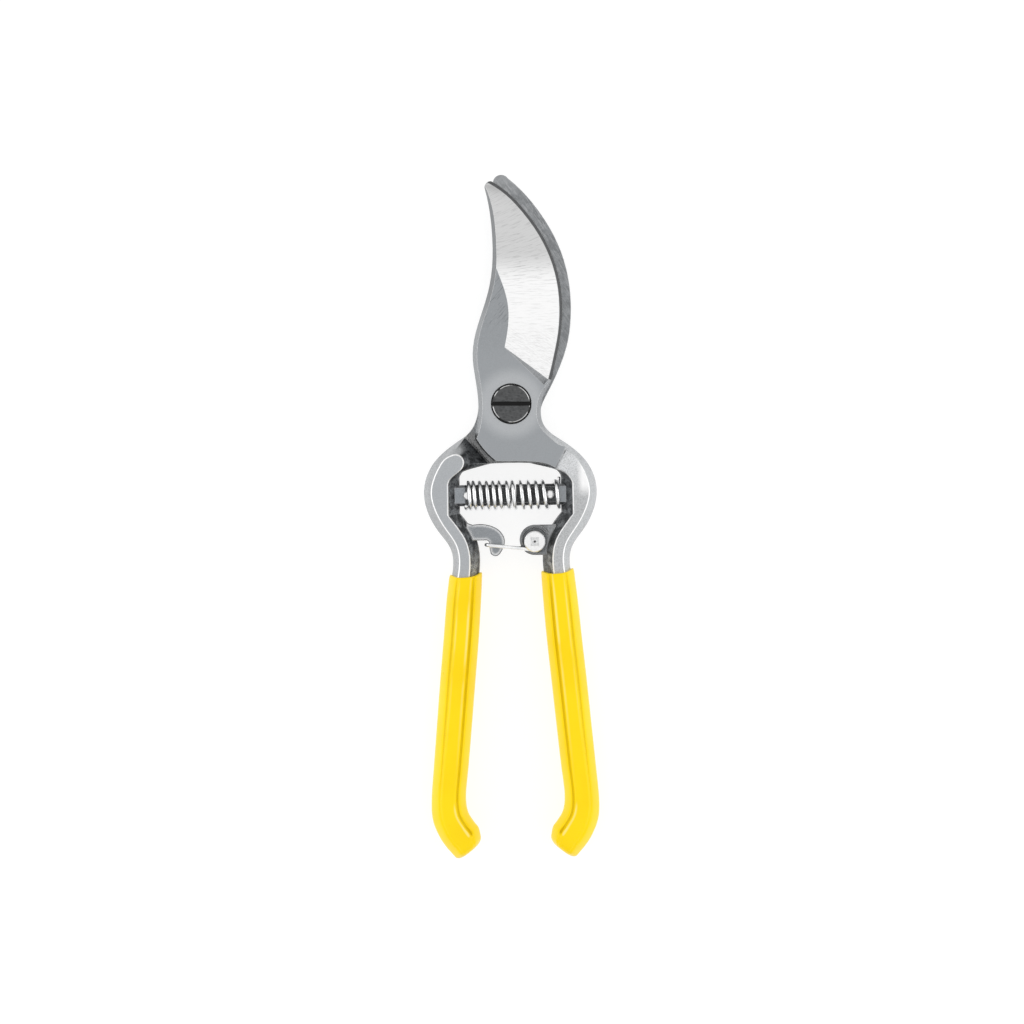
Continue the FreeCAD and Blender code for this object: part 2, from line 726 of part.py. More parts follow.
def hook_arm():
    body = plate("hook", hook_outline(), HOOK_FRONT, HOOK_BACK)
    start = ROOT_LEFT
    reach = "%s - Sizes.stud_gap / 2 - %s" % (STUD_MEET, start)
    whole = joined("hook_forging", [
        body, handle("left", True, False), stud("left", start, reach, ROOT_LEFT), hook_tab(),
    ])
    holes = joined("hook_arm_holes", [
        through("hook_pivot_bore", "Sizes.bolt_radius", ("0", "0")),
        through("left_pin_hole", "Sizes.pin_radius", LEFT_PIN),
    ])
    return without("hook_arm", whole, holes)


# ---------------------------------------------------------------- dipped grips

GRIP_LEVELS = [
    # height from the parting line, share of the flank moved in, and how much of the skin is outside
    ("Sizes.handle_thickness / 2 + Sizes.grip_skin", 1.0, 0.1),
    ("Sizes.handle_thickness / 2 + Sizes.grip_skin * 0.35", 1.0, -0.75),
    ("Sizes.trim_band / 2", 0.0, -1.05),
]


def grip_outline(top_y):
    """The part of the handle outline that the grip covers, closed across its top."""
    waist = size("waist_half_width")
    waist_in = waist - size("waist_width")
    below = [(kind, [p for p in stretch if p[1] < top_y - 2])
             for kind, stretch in handle_outline()[:3]]
    outside = [(waist + 0.6, top_y, 1.8)] + below[0][1]
    inside = below[2][1] + [(waist_in + 0.2, top_y, 2.8)]
    return [("curve", outside), below[1], ("curve", inside), ("line", [inside[-1], outside[0]])]


def grip(side, mirrored, steel):
    """A dipped sleeve over one handle, closed at the toe and cut off square at the top."""
    top_y = -size("%s_grip_drop" % side)
    skin = size("grip_skin")
    whole = grip_outline(top_y)
    first = whole[0][1][0]
    last = whole[2][1][-1]
    sections = []
    signed = [(-1, level) for level in GRIP_LEVELS] + [(1, level) for level in GRIP_LEVELS[::-1]]
    for i, (sign, (height, share, skins)) in enumerate(signed):
        moved = inward(whole, share, skins * skin)
        outside = list(moved[0][1])
        inside = list(moved[2][1])
        outside[0] = (first[0] - share * first[2] - skins * skin, top_y, 0)
        inside[-1] = (last[0] + share * last[2] + skins * skin, top_y, 0)
        level = [("curve", outside), moved[1], ("curve", inside),
                 ("line", [inside[-1], outside[0]])]
        place = "%s %s (%s)" % (MIDDLE, "+" if sign > 0 else "-", height)
        sections.append(sketch("%s_grip_%d" % (side, i), edges(level, mirrored), place))
    return without("%s_grip" % side, loft("%s_grip_outside" % side, sections), steel)


# ---------------------------------------------------------------- pivot hardware

def pivot_bolt():
    seat = "(%s - Sizes.seat_depth)" % BLADE_FRONT
    top = "(%s + Sizes.head_height)" % seat
    body = turned("pivot_bolt_turned", [
        ("0", "Sizes.bolt_recess"),
        ("Sizes.bolt_radius - 0.6", "Sizes.bolt_recess"),
        ("Sizes.bolt_radius", "Sizes.bolt_recess + 0.6"),
        ("Sizes.bolt_radius", seat),
        ("Sizes.head_radius", seat),
        ("Sizes.head_radius", top + " - 0.5"),
        ("Sizes.head_radius - 0.6", top),
        ("0", top),
    ])
    slot = box("screwdriver_slot", "3 * Sizes.head_radius", "Sizes.slot_width",
               "2 * Sizes.slot_depth",
               ("-1.5 * Sizes.head_radius", "-Sizes.slot_width / 2", top + " - Sizes.slot_depth"))
    return without("pivot_bolt", body, slot)


def pivot_washer():
    ring = cylinder("washer_disc", "Sizes.washer_radius", "Sizes.washer_thickness",
                    ("0", "0", "Sizes.nut_height"))
    return without("pivot_washer", ring, through("washer_hole", "Sizes.bolt_radius", ("0", "0")))


def pivot_nut():
    hexagon = doc.addObject("Part::Prism", "nut_hexagon")
    hexagon.Polygon = 6
    hexagon.setExpression("Circumradius", "Sizes.nut_across / sqrt(3)")
    hexagon.setExpression("Height", "Sizes.nut_height")
    # A cone turns the corners down at the outer face.
    cone = doc.addObject("Part::Cone", "nut_cone")
    cone.setExpression("Radius1", "Sizes.nut_across / 2 * 0.97")
    cone.setExpression("Radius2", "Sizes.nut_across / 2 * 0.97 + 2 * Sizes.nut_height")
    cone.setExpression("Height", "Sizes.nut_height")
    blank = doc.addObject("Part::Common", "nut_blank")
    blank.Base = hexagon
    blank.Tool = cone
    return without("pivot_nut", blank, through("nut_hole", "Sizes.bolt_radius", ("0", "0")))


# ---------------------------------------------------------------- return spring

COIL_RADIUS = "(Sizes.stud_radius + Sizes.coil_clearance + Sizes.wire_radius)"
SPRING_LENGTH = "(2 * (Sizes.seat_half_width - Sizes.spring_end_gap - Sizes.wire_radius))"


def return_spring():
    body = doc.addObject("PartDesign::Body", "return_spring")
    plane = [item for item in body.Origin.OriginFeatures if item.Role == "XZ_Plane"][0]
    drawn = body.newObject("Sketcher::SketchObject", "spring_wire_section")
    drawn.AttachmentSupport = (plane, [""])
    drawn.MapMode = "FlatFace"
    middle_of_wire = Vector(number(COIL_RADIUS), 0, 0)
    drawn.addGeometry(Part.Circle(middle_of_wire, Vector(0, 0, 1), size("wire_radius")), False)
    drawn.addConstraint(Sketcher.Constraint("Radius", 0, size("wire_radius")))
    drawn.addConstraint(Sketcher.Constraint("DistanceX", -1, 1, 0, 3, number(COIL_RADIUS)))
    drawn.addConstraint(Sketcher.Constraint("PointOnObject", 0, 3, -1))
    drawn.setExpression("Constraints[0]", "Sizes.wire_radius")
    drawn.setExpression("Constraints[1]", COIL_RADIUS)
    doc.recompute()
    coil = body.newObject("PartDesign::AdditiveHelix", "spring_coil")
    coil.Profile = drawn
    coil.ReferenceAxis = (drawn, ["V_Axis"])
    coil.Mode = 1
    coil.Angle = 0
    coil.setExpression("Pitch", SPRING_LENGTH + " / Sizes.coil_turns")
    coil.setExpression("Turns", "Sizes.coil_turns")
    body.Placement = Placement(Vector(), ALONG_X)
    start = "Sizes.handle_centre - %s / 2" % SPRING_LENGTH
    for letter, value in zip("xyz", (start, "-Sizes.stud_drop", MIDDLE)):
        body.setExpression("Placement.Base.%s" % letter, value)
    return body


# ---------------------------------------------------------------- latch

LEG_HEIGHT = "(Sizes.ear_thickness / 2 + Sizes.latch_clearance + Sizes.latch_wire_radius)"
DISC_IN = "(%s + Sizes.latch_wire_radius + Sizes.latch_clearance)" % LEG_HEIGHT


def latch_wire():
    """A wire bail: an eye round the rivet, a leg, the cross bar, the other leg and its eye."""
    wire = size("latch_wire_radius")
    eye_radius = size("rivet_radius") + size("latch_clearance") + wire
    rivet = point(RIVET)
    bar = point(BAR)
    span = bar.distanceToPoint(rivet)
    lean = math.atan2(rivet.y - bar.y, rivet.x - bar.x) - math.asin(eye_radius / span)
    leg = Vector(math.cos(lean), math.sin(lean), 0)
    leaves = bar + leg * math.sqrt(span ** 2 - eye_radius ** 2)
    start = math.atan2(leaves.y - rivet.y, leaves.x - rivet.x)
    bend = size("latch_corner")
    lift = number(LEG_HEIGHT)

    def side(sign):
        raised = Vector(0, 0, middle + sign * lift)

        def on_eye(turn):
            angle = start + math.radians(turn)
            return rivet + raised + Vector(math.cos(angle), math.sin(angle), 0) * eye_radius

        eye = Part.Arc(on_eye(265), on_eye(132), on_eye(0))
        corner_start = bar + raised + leg * bend
        corner_end = bar + raised - Vector(0, 0, sign * bend)
        centre_of_bend = bar + raised + leg * bend - Vector(0, 0, sign * bend)
        to_middle = Vector(-leg.x, -leg.y, sign).normalize() * bend
        leg_line = Part.LineSegment(on_eye(0), corner_start)
        corner = Part.Arc(corner_start, centre_of_bend + to_middle, corner_end)
        return [eye, leg_line, corner], corner_end, on_eye(265), on_eye(265 - 5)

    front, front_end, tip, tip_next = side(1)
    back, back_end, back_tip, back_next = side(-1)
    curves = front + [Part.LineSegment(front_end, back_end)] + back[::-1]
    path = Part.Wire(Part.__sortEdges__([curve.toShape() for curve in curves]))
    ring = Part.Wire(Part.makeCircle(wire, tip, tip_next - tip))
    pipe = path.makePipeShell([ring], True, False)
    return stored("latch_wire", pipe)


def latch_rivet():
    """A rivet headed at the back, with a square end for the front washer."""
    back = "(%s - %s - Sizes.disc_thickness)" % (MIDDLE, DISC_IN)
    front = "(%s + %s)" % (MIDDLE, DISC_IN)
    body = turned("latch_rivet_turned", [
        ("0", back),
        ("Sizes.disc_radius * 0.75", back),
        ("Sizes.disc_radius", back + " + Sizes.disc_thickness * 0.5"),
        ("Sizes.disc_radius", back + " + Sizes.disc_thickness"),
        ("Sizes.rivet_radius", back + " + Sizes.disc_thickness"),
        ("Sizes.rivet_radius", front),
        ("0", front),
    ], RIVET)
    square = box("rivet_square_end", "Sizes.rivet_square", "Sizes.rivet_square",
                 "Sizes.disc_thickness + Sizes.rivet_proud",
                 (RIVET[0] + " - Sizes.rivet_square / 2",
                  RIVET[1] + " - Sizes.rivet_square / 2", front))
    return joined("latch_rivet", [body, square])


def latch_washer():
    front = "(%s + %s)" % (MIDDLE, DISC_IN)
    disc = turned("latch_washer_disc", [
        ("0", front),
        ("Sizes.disc_radius", front),
        ("Sizes.disc_radius", front + " + Sizes.disc_thickness * 0.7"),
        ("Sizes.disc_radius - 0.3", front + " + Sizes.disc_thickness"),
        ("0", front + " + Sizes.disc_thickness"),
    ], RIVET)
    hole = box("washer_square_hole", "Sizes.rivet_square", "Sizes.rivet_square",
               "3 * Sizes.disc_thickness",
               (RIVET[0] + " - Sizes.rivet_square / 2",
                RIVET[1] + " - Sizes.rivet_square / 2", front + " - Sizes.disc_thickness"))
    return without("latch_washer", disc, hole)


# ---------------------------------------------------------------- the whole tool

blade = blade_arm()
hook = hook_arm()
PIECES = {
    "blade_arm": blade,
    "hook_arm": hook,
    "right_grip": grip("right", False, doc.getObject("right_handle")),
    "left_grip": grip("left", True, doc.getObject("left_handle")),
    "pivot_bolt": pivot_bolt(),
    "pivot_washer": pivot_washer(),
    "pivot_nut": pivot_nut(),
    "return_spring": return_spring(),
    "left_spring_pin": spring_pin("left_spring_pin", LEFT_PIN),
    "right_spring_pin": spring_pin("right_spring_pin", RIGHT_PIN),
    "latch_wire": latch_wire(),
    "latch_rivet": latch_rivet(),
    "latch_washer": latch_washer(),
}
doc.recompute()

for item in doc.Objects:
    if "Invalid" in item.State or "Error" in item.State:
        raise RuntimeError("%s failed: %s" % (item.Name, item.State))
for name, piece in PIECES.items():
    shape = piece.Shape
    if shape.isNull() or not shape.isValid() or len(shape.Solids) != 1:
        raise RuntimeError("%s is not one valid solid" % name)

os.makedirs("parts", exist_ok=True)
for name, piece in PIECES.items():
    piece.Label = name
    piece.Shape.exportStep("parts/%s.step" % name)
    print("%-18s %9.1f mm3" % (name, piece.Shape.Volume))
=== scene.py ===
import math

import bpy
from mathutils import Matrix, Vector


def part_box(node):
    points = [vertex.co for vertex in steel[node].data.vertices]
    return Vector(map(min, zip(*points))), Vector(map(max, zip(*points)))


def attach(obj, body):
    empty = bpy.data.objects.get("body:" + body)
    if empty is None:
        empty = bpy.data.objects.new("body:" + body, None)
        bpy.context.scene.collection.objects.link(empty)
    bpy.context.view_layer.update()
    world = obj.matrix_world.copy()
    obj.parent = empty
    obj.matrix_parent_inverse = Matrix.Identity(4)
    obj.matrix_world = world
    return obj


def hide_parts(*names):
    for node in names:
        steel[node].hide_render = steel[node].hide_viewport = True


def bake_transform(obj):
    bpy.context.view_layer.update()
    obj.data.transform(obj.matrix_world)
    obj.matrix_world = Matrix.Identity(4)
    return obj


# A forged bypass pruner, latched shut. Its own sizes below are millimetres, times MM for metres.

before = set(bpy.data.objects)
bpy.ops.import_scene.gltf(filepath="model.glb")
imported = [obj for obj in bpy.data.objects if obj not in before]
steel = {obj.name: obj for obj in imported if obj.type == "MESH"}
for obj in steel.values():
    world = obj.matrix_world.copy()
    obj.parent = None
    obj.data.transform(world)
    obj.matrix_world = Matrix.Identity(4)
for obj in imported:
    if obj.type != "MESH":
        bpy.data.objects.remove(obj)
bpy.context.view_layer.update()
scene = bpy.context.scene


# ---------------------------------------------------------------- studio
# A white light table under a soft tent, with a long soft box at each side. The tent is darker
# near the horizon, so polished parts show their form. The camera looks straight down on the tool.

MM = 0.001


def place(tree, kind, inputs=None, **settings):
    """Adds a shader node. An input given as a socket is linked, anything else is its value."""
    made = tree.nodes.new("ShaderNode" + kind)
    for name, value in settings.items():
        setattr(made, name, value)
    for name, value in (inputs or {}).items():
        if isinstance(value, bpy.types.NodeSocket):
            tree.links.new(value, made.inputs[name])
        else:
            made.inputs[name].default_value = value
    return made


def rise(tree, value, low, high):
    """0 up to low, 1 from high, smooth between. A low above high makes it fall."""
    made = place(tree, "MapRange", {"Value": value, "From Min": low, "From Max": high},
                 interpolation_type="SMOOTHSTEP")
    return made.outputs["Result"]


def soft_light(name, at, aim, width, height, watts):
    """A plain soft box."""
    data = bpy.data.lights.new(name, "AREA")
    data.shape = "RECTANGLE"
    data.size = width
    data.size_y = height
    data.energy = watts
    lamp = bpy.data.objects.new(name, data)
    lamp.location = at
    lamp.rotation_euler = (Vector(aim) - Vector(at)).to_track_quat("-Z", "Y").to_euler()
    scene.collection.objects.link(lamp)


world = bpy.data.worlds.new("tent")
scene.world = world
world.use_nodes = True
sky = world.node_tree
toward = place(sky, "SeparateXYZ", {0: place(sky, "TexCoord").outputs["Generated"]})
brightness = place(sky, "MapRange", {"Value": rise(sky, toward.outputs["Z"], 0.05, 0.75),
                                     "To Min": 0.60, "To Max": 1.0})
sky.links.new(brightness.outputs["Result"], sky.nodes["Background"].inputs["Strength"])
sky.nodes["Background"].inputs["Color"].default_value = (1.0, 1.0, 1.0, 1.0)

MIDDLE_OF_TOOL = (0.0, -0.034, 0.0)
BOX_SIZE = (1.2, 0.35)
soft_light("left_box", (-1.0, 0.1, 0.32), MIDDLE_OF_TOOL, *BOX_SIZE, 2.5)
soft_light("right_box", (1.0, 0.0, 0.32), MIDDLE_OF_TOOL, *BOX_SIZE, 2.3)
scene.view_settings.view_transform = "Standard"

HALF_TABLE = 3.0
tabletop = bpy.data.meshes.new("tabletop")
tabletop.from_pydata([(sx * HALF_TABLE, sy * HALF_TABLE, 0.0)
                      for sx, sy in ((-1, -1), (1, -1), (1, 1), (-1, 1))], [], [(0, 1, 2, 3)])
table = bpy.data.objects.new("tabletop", tabletop)
scene.collection.objects.link(table)
laminate = bpy.data.materials.new("white_laminate")
laminate.use_nodes = True
board = laminate.node_tree
fleck = place(board, "TexNoise", {"Vector": place(board, "TexCoord").outputs["Object"],
                                  "Scale": 300.0, "Detail": 2.0}).outputs[0]
top_sheet = board.nodes["Principled BSDF"]
dullness = place(board, "MapRange", {"Value": fleck, "To Min": 0.55, "To Max": 0.75})
board.links.new(dullness.outputs["Result"], top_sheet.inputs["Roughness"])
top_sheet.inputs["Base Color"].default_value = (0.22, 0.22, 0.22, 1.0)
top_sheet.inputs["Emission Color"].default_value = (1.0, 1.0, 1.0, 1.0)
top_sheet.inputs["Emission Strength"].default_value = 0.82
tabletop.materials.append(laminate)

LENS = 180.0
SHOWN_WIDTH = 307.2 * MM
FOCUS_HEIGHT = 10.0 * MM
VIEW_MIDDLE = (-0.3, -32.43)
LEAN = math.radians(0.945)
lens = bpy.data.cameras.new("camera")
lens.lens = LENS
camera = bpy.data.objects.new("camera", lens)
distance = SHOWN_WIDTH * LENS / lens.sensor_width
camera.location = (VIEW_MIDDLE[0] * MM, VIEW_MIDDLE[1] * MM, FOCUS_HEIGHT + distance)
camera.rotation_euler = (0.0, 0.0, -LEAN)
scene.collection.objects.link(camera)
scene.camera = camera


# ---------------------------------------------------------------- blade arm
# One drop forging of carbon steel. The neck is ground flat, the blade has a wide bevel ground
# across it and a narrow honed edge, and the handle's land is blasted.

def finish(name, **constants):
    """A new material with its Principled shader's plain values set."""
    material = bpy.data.materials.new(name)
    material.use_nodes = True
    shader = material.node_tree.nodes["Principled BSDF"]
    for key, value in constants.items():
        shader.inputs[key.replace("_", " ")].default_value = value
    return material, material.node_tree, shader


def calc(tree, operation, *values):
    """A Math node on numbers or sockets."""
    made = place(tree, "Math", dict(enumerate(values)), operation=operation)
    return made.outputs[0]


def all_of(tree, *masks):
    """The masks multiplied together."""
    result = masks[0]
    for mask in masks[1:]:
        result = calc(tree, "MULTIPLY", result, mask)
    return result


def between(tree, amount, low, high):
    """A value from low to high as amount goes from 0 to 1."""
    made = place(tree, "MapRange", {"Value": amount, "To Min": low, "To Max": high})
    return made.outputs["Result"]


def over(tree, mask, below, above):
    """The colour above laid over the colour below where the mask is 1."""
    return place(tree, "Mix", {0: mask, 6: below, 7: above}, data_type="RGBA").outputs[2]


def grey(value, tint=0.0):
    """A grey, cooler for a tint above 0."""
    return (value * (1 - tint), value, value * (1 + tint), 1.0)


def tone(tree, colour, value):
    """A colour made lighter or darker by a value that varies over the surface."""
    plain = colour if isinstance(colour, bpy.types.NodeSocket) else colour[:3]
    return place(tree, "VectorMath", {0: plain, "Scale": value}, operation="SCALE").outputs[0]


def position(tree):
    """Where a point of the surface is: the vector in millimetres, and its X, Y and Z."""
    spot = place(tree, "TexCoord").outputs["Object"]
    vector = place(tree, "VectorMath", {0: spot, "Scale": 1000.0}, operation="SCALE").outputs[0]
    parts = place(tree, "SeparateXYZ", {0: vector})
    return vector, parts.outputs["X"], parts.outputs["Y"], parts.outputs["Z"]


def new_group(name, inputs, outputs):
    """An empty shader node group. An input is a number with its value, or a vector if None."""
    tree = bpy.data.node_groups.new(name, "ShaderNodeTree")
    for title, value in inputs.items():
        kind = "NodeSocketVector" if value is None else "NodeSocketFloat"
        socket = tree.interface.new_socket(title, in_out="INPUT", socket_type=kind)
        if value is not None:
            socket.default_value = value
    for title, kind in outputs.items():
        tree.interface.new_socket(title, in_out="OUTPUT", socket_type="NodeSocket" + kind)
    given = tree.nodes.new("NodeGroupInput").outputs
    gives = tree.nodes.new("NodeGroupOutput").inputs
    return tree, given, gives


def use(tree, group, **inputs):
    """Places a node group; its inputs are named with underscores for spaces."""
    made = place(tree, "Group", node_tree=group)
    for title, value in inputs.items():
        socket = made.inputs[title.replace("_", " ")]
        if isinstance(value, bpy.types.NodeSocket):
            tree.links.new(value, socket)
        else:
            socket.default_value = value
    return made.outputs


# Edge wear and painted edge light: a mask on the rounded edges of a piece, broken up a little
# along their length. Materials paint it lighter as wear and painted highlights, and darker as
# painted shade.
edge_wear_and_highlight, given, gives = new_group(
    "edge_wear_and_highlight", {"Radius": 0.3, "Strength": 1.0}, {"Mask": "Float", "Normal": "Vector"})
rounded = place(edge_wear_and_highlight, "Bevel",
                {"Radius": calc(edge_wear_and_highlight, "MULTIPLY", given["Radius"], MM)}, samples=6)
facing = place(edge_wear_and_highlight, "VectorMath",
               {0: rounded.outputs[0], 1: place(edge_wear_and_highlight, "NewGeometry").outputs["Normal"]},
               operation="DOT_PRODUCT").outputs["Value"]
bend = calc(edge_wear_and_highlight, "SUBTRACT", 1.0, facing)
chips = place(edge_wear_and_highlight, "TexNoise",
              {"Vector": position(edge_wear_and_highlight)[0], "Scale": 1.3, "Detail": 4.0})
broken = between(edge_wear_and_highlight, chips.outputs[0], 0.25, 1.6)
worn_and_lit = all_of(edge_wear_and_highlight, bend, given["Strength"], broken)
edge_wear_and_highlight.links.new(rise(edge_wear_and_highlight, worn_and_lit, 0.012, 0.09), gives["Mask"])
edge_wear_and_highlight.links.new(rounded.outputs[0], gives["Normal"])

# Scratches: fine lines that run at an angle in the XY plane, from 0 to 1.
scratches, given, gives = new_group(
    "scratches", {"Vector": None, "Angle": 0.0, "Lines": 6.0, "Length": 4.0, "Start": 0.5},
    {"Lines": "Float"})
turned = place(scratches, "VectorRotate",
               {"Vector": given["Vector"], "Angle": given["Angle"]}, rotation_type="Z_AXIS")
stretch = place(scratches, "CombineXYZ", {"X": calc(scratches, "DIVIDE", 1.0, given["Length"]),
                                          "Y": given["Lines"], "Z": 0.3})
drawn_out = place(scratches, "VectorMath", {0: turned.outputs[0], 1: stretch.outputs[0]},
                  operation="MULTIPLY")
lines = place(scratches, "TexNoise", {"Vector": drawn_out.outputs[0], "Scale": 1.0, "Detail": 3.0,
                                      "Roughness": 0.7})
full = calc(scratches, "ADD", given["Start"], 0.14)
scratches.links.new(rise(scratches, lines.outputs[0], given["Start"], full), gives["Lines"])

# Grain: the pitted skin of a blasted or scaled forging, from 0 to 1.
grain, given, gives = new_group("grain", {"Vector": None, "Size": 0.5}, {"Grain": "Float"})
closeness = calc(grain, "DIVIDE", 1.0, given["Size"])
coarse = place(grain, "TexNoise", {"Vector": given["Vector"], "Scale": closeness, "Detail": 5.0,
                                   "Roughness": 0.65})
pits = place(grain, "TexVoronoi", {"Vector": given["Vector"],
                                   "Scale": calc(grain, "MULTIPLY", closeness, 1.7)})
both = calc(grain, "ADD", calc(grain, "MULTIPLY", coarse.outputs[0], 0.7),
            calc(grain, "MULTIPLY", pits.outputs["Distance"], 0.45))
grain.links.new(rise(grain, both, 0.36, 0.70), gives["Grain"])

# Zones of a forged arm: its flat lands and their edges, its flat plate, the lower flats of its ear
# or tab, its leaning sides, and those of the sides that face the inside of the tool. Level is the
# distance from the parting plane, and Across the distance from the line between the handles. Lands
# lie above LAND_LEVEL, plates between it and PLATE_LEVEL, and the low flats above LOW_LEVEL.
PARTING = 8.18
CENTRE_LINE = -0.7
LAND_LEVEL = 4.7
PLATE_LEVEL = 3.4
LOW_LEVEL = 1.5
zones, given, gives = new_group("forging_zones", {}, {
    "Land": "Float", "Land Edge": "Float", "Plate": "Float", "Low Flat": "Float", "Side": "Float",
    "Inside": "Float", "Level": "Float", "Across": "Float"})
_, x, _, z = position(zones)
normal = place(zones, "SeparateXYZ", {0: place(zones, "TexCoord").outputs["Normal"]})
level = calc(zones, "ABSOLUTE", calc(zones, "SUBTRACT", z, PARTING))
upright = calc(zones, "ABSOLUTE", normal.outputs["Z"])
flat = rise(zones, upright, 0.986, 0.996)
zones.links.new(all_of(zones, flat, rise(zones, level, LAND_LEVEL, LAND_LEVEL + 0.2)),
                gives["Land"])
zones.links.new(all_of(zones, rise(zones, upright, 0.985, 0.97), rise(zones, upright, 0.2, 0.45),
                       rise(zones, level, LAND_LEVEL - 0.1, LAND_LEVEL - 0.02)),
                gives["Land Edge"])
zones.links.new(all_of(zones, flat, rise(zones, level, LAND_LEVEL - 0.1, LAND_LEVEL - 0.3),
                       rise(zones, level, PLATE_LEVEL, PLATE_LEVEL + 0.3)), gives["Plate"])
zones.links.new(all_of(zones, flat, rise(zones, level, PLATE_LEVEL - 0.1, PLATE_LEVEL - 0.3),
                       rise(zones, level, LOW_LEVEL, LOW_LEVEL + 0.2)), gives["Low Flat"])
zones.links.new(rise(zones, upright, 0.9, 0.8), gives["Side"])
from_centre = calc(zones, "SUBTRACT", x, CENTRE_LINE)
outward = calc(zones, "ADD", calc(zones, "MULTIPLY", normal.outputs["X"],
                                  calc(zones, "SIGN", from_centre)),
               calc(zones, "MULTIPLY", normal.outputs["Y"], 0.6))
zones.links.new(rise(zones, outward, 0.15, -0.15), gives["Inside"])
zones.links.new(level, gives["Level"])
zones.links.new(calc(zones, "ABSOLUTE", from_centre), gives["Across"])


def steel_normal(tree, shader, wear_and_highlight, height, depth):
    """Rounded edges with a bump of that depth in millimetres over them."""
    bump = place(tree, "Bump", {"Height": height, "Distance": depth * MM, "Strength": 1.0,
                                "Normal": wear_and_highlight["Normal"]})
    tree.links.new(bump.outputs[0], shader.inputs["Normal"])


def forged_skin(tree, spot):
    """Zones, edge wear, a coarse and a fine grain, and the blotches of a forged arm."""
    blotch = place(tree, "TexNoise", {"Vector": spot, "Scale": 0.45, "Detail": 3.0}).outputs[0]
    return (use(tree, zones), use(tree, edge_wear_and_highlight, Radius=0.22, Strength=1.0),
            use(tree, grain, Vector=spot, Size=0.55)["Grain"],
            use(tree, grain, Vector=spot, Size=0.3)["Grain"], rise(tree, blotch, 0.38, 0.62))


def trim_line(tree, colour, where, zone, fine, shine):
    """The line at the parting plane where the forging's flash was trimmed off."""
    line = all_of(tree, where, rise(tree, zone["Level"], 0.8, 0.55), rise(tree, fine, 0.15, 0.5))
    return over(tree, calc(tree, "MULTIPLY", line, 0.8), colour, grey(shine))


def edge_shade_and_highlight(tree, colour, where, highlight_share, highlight_grey, shade_share, shade_grey):
    """Painted shade on a rounded edge, with a painted highlight line inside it, where the mask is
    1.
    """
    line = use(tree, edge_wear_and_highlight, Radius=1.8, Strength=2.0)["Mask"]
    edge = use(tree, edge_wear_and_highlight, Radius=0.7, Strength=1.4)["Mask"]
    colour = over(tree, all_of(tree, where, line, highlight_share), colour, highlight_grey)
    return over(tree, all_of(tree, where, edge, shade_share), colour, shade_grey)


# The stud's sides, and how far across the tool its dull root and the coil over it begin.
STUD_TOP = -23.1
STUD_BOTTOM = -31.4
ROOT_END = 19.2
COIL_END = 13.6


def stud_colours(tree, colour, y, zone, skin, fine, root_grey):
    """A stud that is dull at its root, with painted shade on it inside the coil."""
    stud = all_of(tree, rise(tree, y, STUD_TOP + 0.2, STUD_TOP - 0.2),
                  rise(tree, y, STUD_BOTTOM - 0.2, STUD_BOTTOM + 0.2),
                  rise(tree, zone["Level"], 3.6, 3.4))
    root = all_of(tree, stud, rise(tree, zone["Across"], ROOT_END + 0.2, ROOT_END - 0.2),
                  zone["Low Flat"])
    colour = over(tree, root, colour, tone(tree, root_grey, between(tree, fine, 0.9, 1.1)))
    coil_shade = all_of(tree, stud, rise(tree, zone["Across"], COIL_END + 0.2, COIL_END - 0.2))
    return over(tree, coil_shade, colour,
                tone(tree, grey(0.075, 0.03), between(tree, skin, 0.4, 1.6)))


def from_pivot(tree, x, y):
    """The distance in the plan from the pivot's axis."""
    squares = calc(tree, "ADD", calc(tree, "POWER", x, 2.0), calc(tree, "POWER", y, 2.0))
    return calc(tree, "POWER", squares, 0.5)


def give(piece, material):
    """The piece has this one material."""
    piece.data.materials.clear()
    piece.data.materials.append(material)


arm_finish, tree, shader = finish("blade_arm_steel", Metallic=1.0)
spot, x, y, z = position(tree)
zone, wear_and_highlight, skin, fine, blotch = forged_skin(tree, spot)
upright = place(tree, "SeparateXYZ", {0: place(tree, "TexCoord").outputs["Normal"]}).outputs["Z"]
rubbed = use(tree, scratches, Vector=spot, Angle=math.radians(-48), Lines=2.8, Length=4.0,
             Start=0.53)["Lines"]

# Leaning sides: bright and lightly pitted outside, dark with forge scale inside the handle.
in_handle = rise(tree, y, -12.0, -16.0)
scale = all_of(tree, zone["Inside"], in_handle)
side_grey = over(tree, rise(tree, y, -12.0, -5.0), grey(0.54, 0.02), grey(0.36, 0.03))
side_grey = over(tree, rise(tree, y, 22.0, 34.0), side_grey, grey(0.25, 0.03))
bright_side = tone(tree, side_grey, between(tree, skin, 0.80, 1.16))
darkest = rise(tree, y, -50.0, -36.0)
scale_side = tone(tree, over(tree, darkest, grey(0.20, 0.03), grey(0.105, 0.04)),
                  between(tree, skin, 0.40, 1.70))
scale_side = tone(tree, scale_side, between(tree, blotch, 0.55, 1.4))
colour = over(tree, scale, bright_side, scale_side)
# The side at the neck's lower left corner is painted dark: painted shade beside the hook arm's
# shoulder.
corner = all_of(tree, zone["Side"], rise(tree, y, -8.0, -9.5), rise(tree, x, -4.0, -5.5))
colour = over(tree, corner, colour, grey(0.09, 0.04))
colour = trim_line(tree, colour, scale, zone, fine, 0.62)

# The ear and its web are left as forged; the ear's rounded edges get painted shade with a painted
# highlight line inside it.
below_ear_top = rise(tree, y, -34.5, -36.0)
web = all_of(tree, below_ear_top, rise(tree, x, 10.6, 9.8))
colour = over(tree, web, colour, tone(tree, grey(0.13, 0.04), between(tree, skin, 0.40, 2.0)))
ear = all_of(tree, below_ear_top, rise(tree, x, 12.6, 11.8))
colour = edge_shade_and_highlight(tree, colour, ear, 0.55, grey(0.45, 0.02), 0.8, grey(0.045, 0.03))
colour = stud_colours(tree, colour, y, zone, skin, fine, grey(0.36, 0.05))
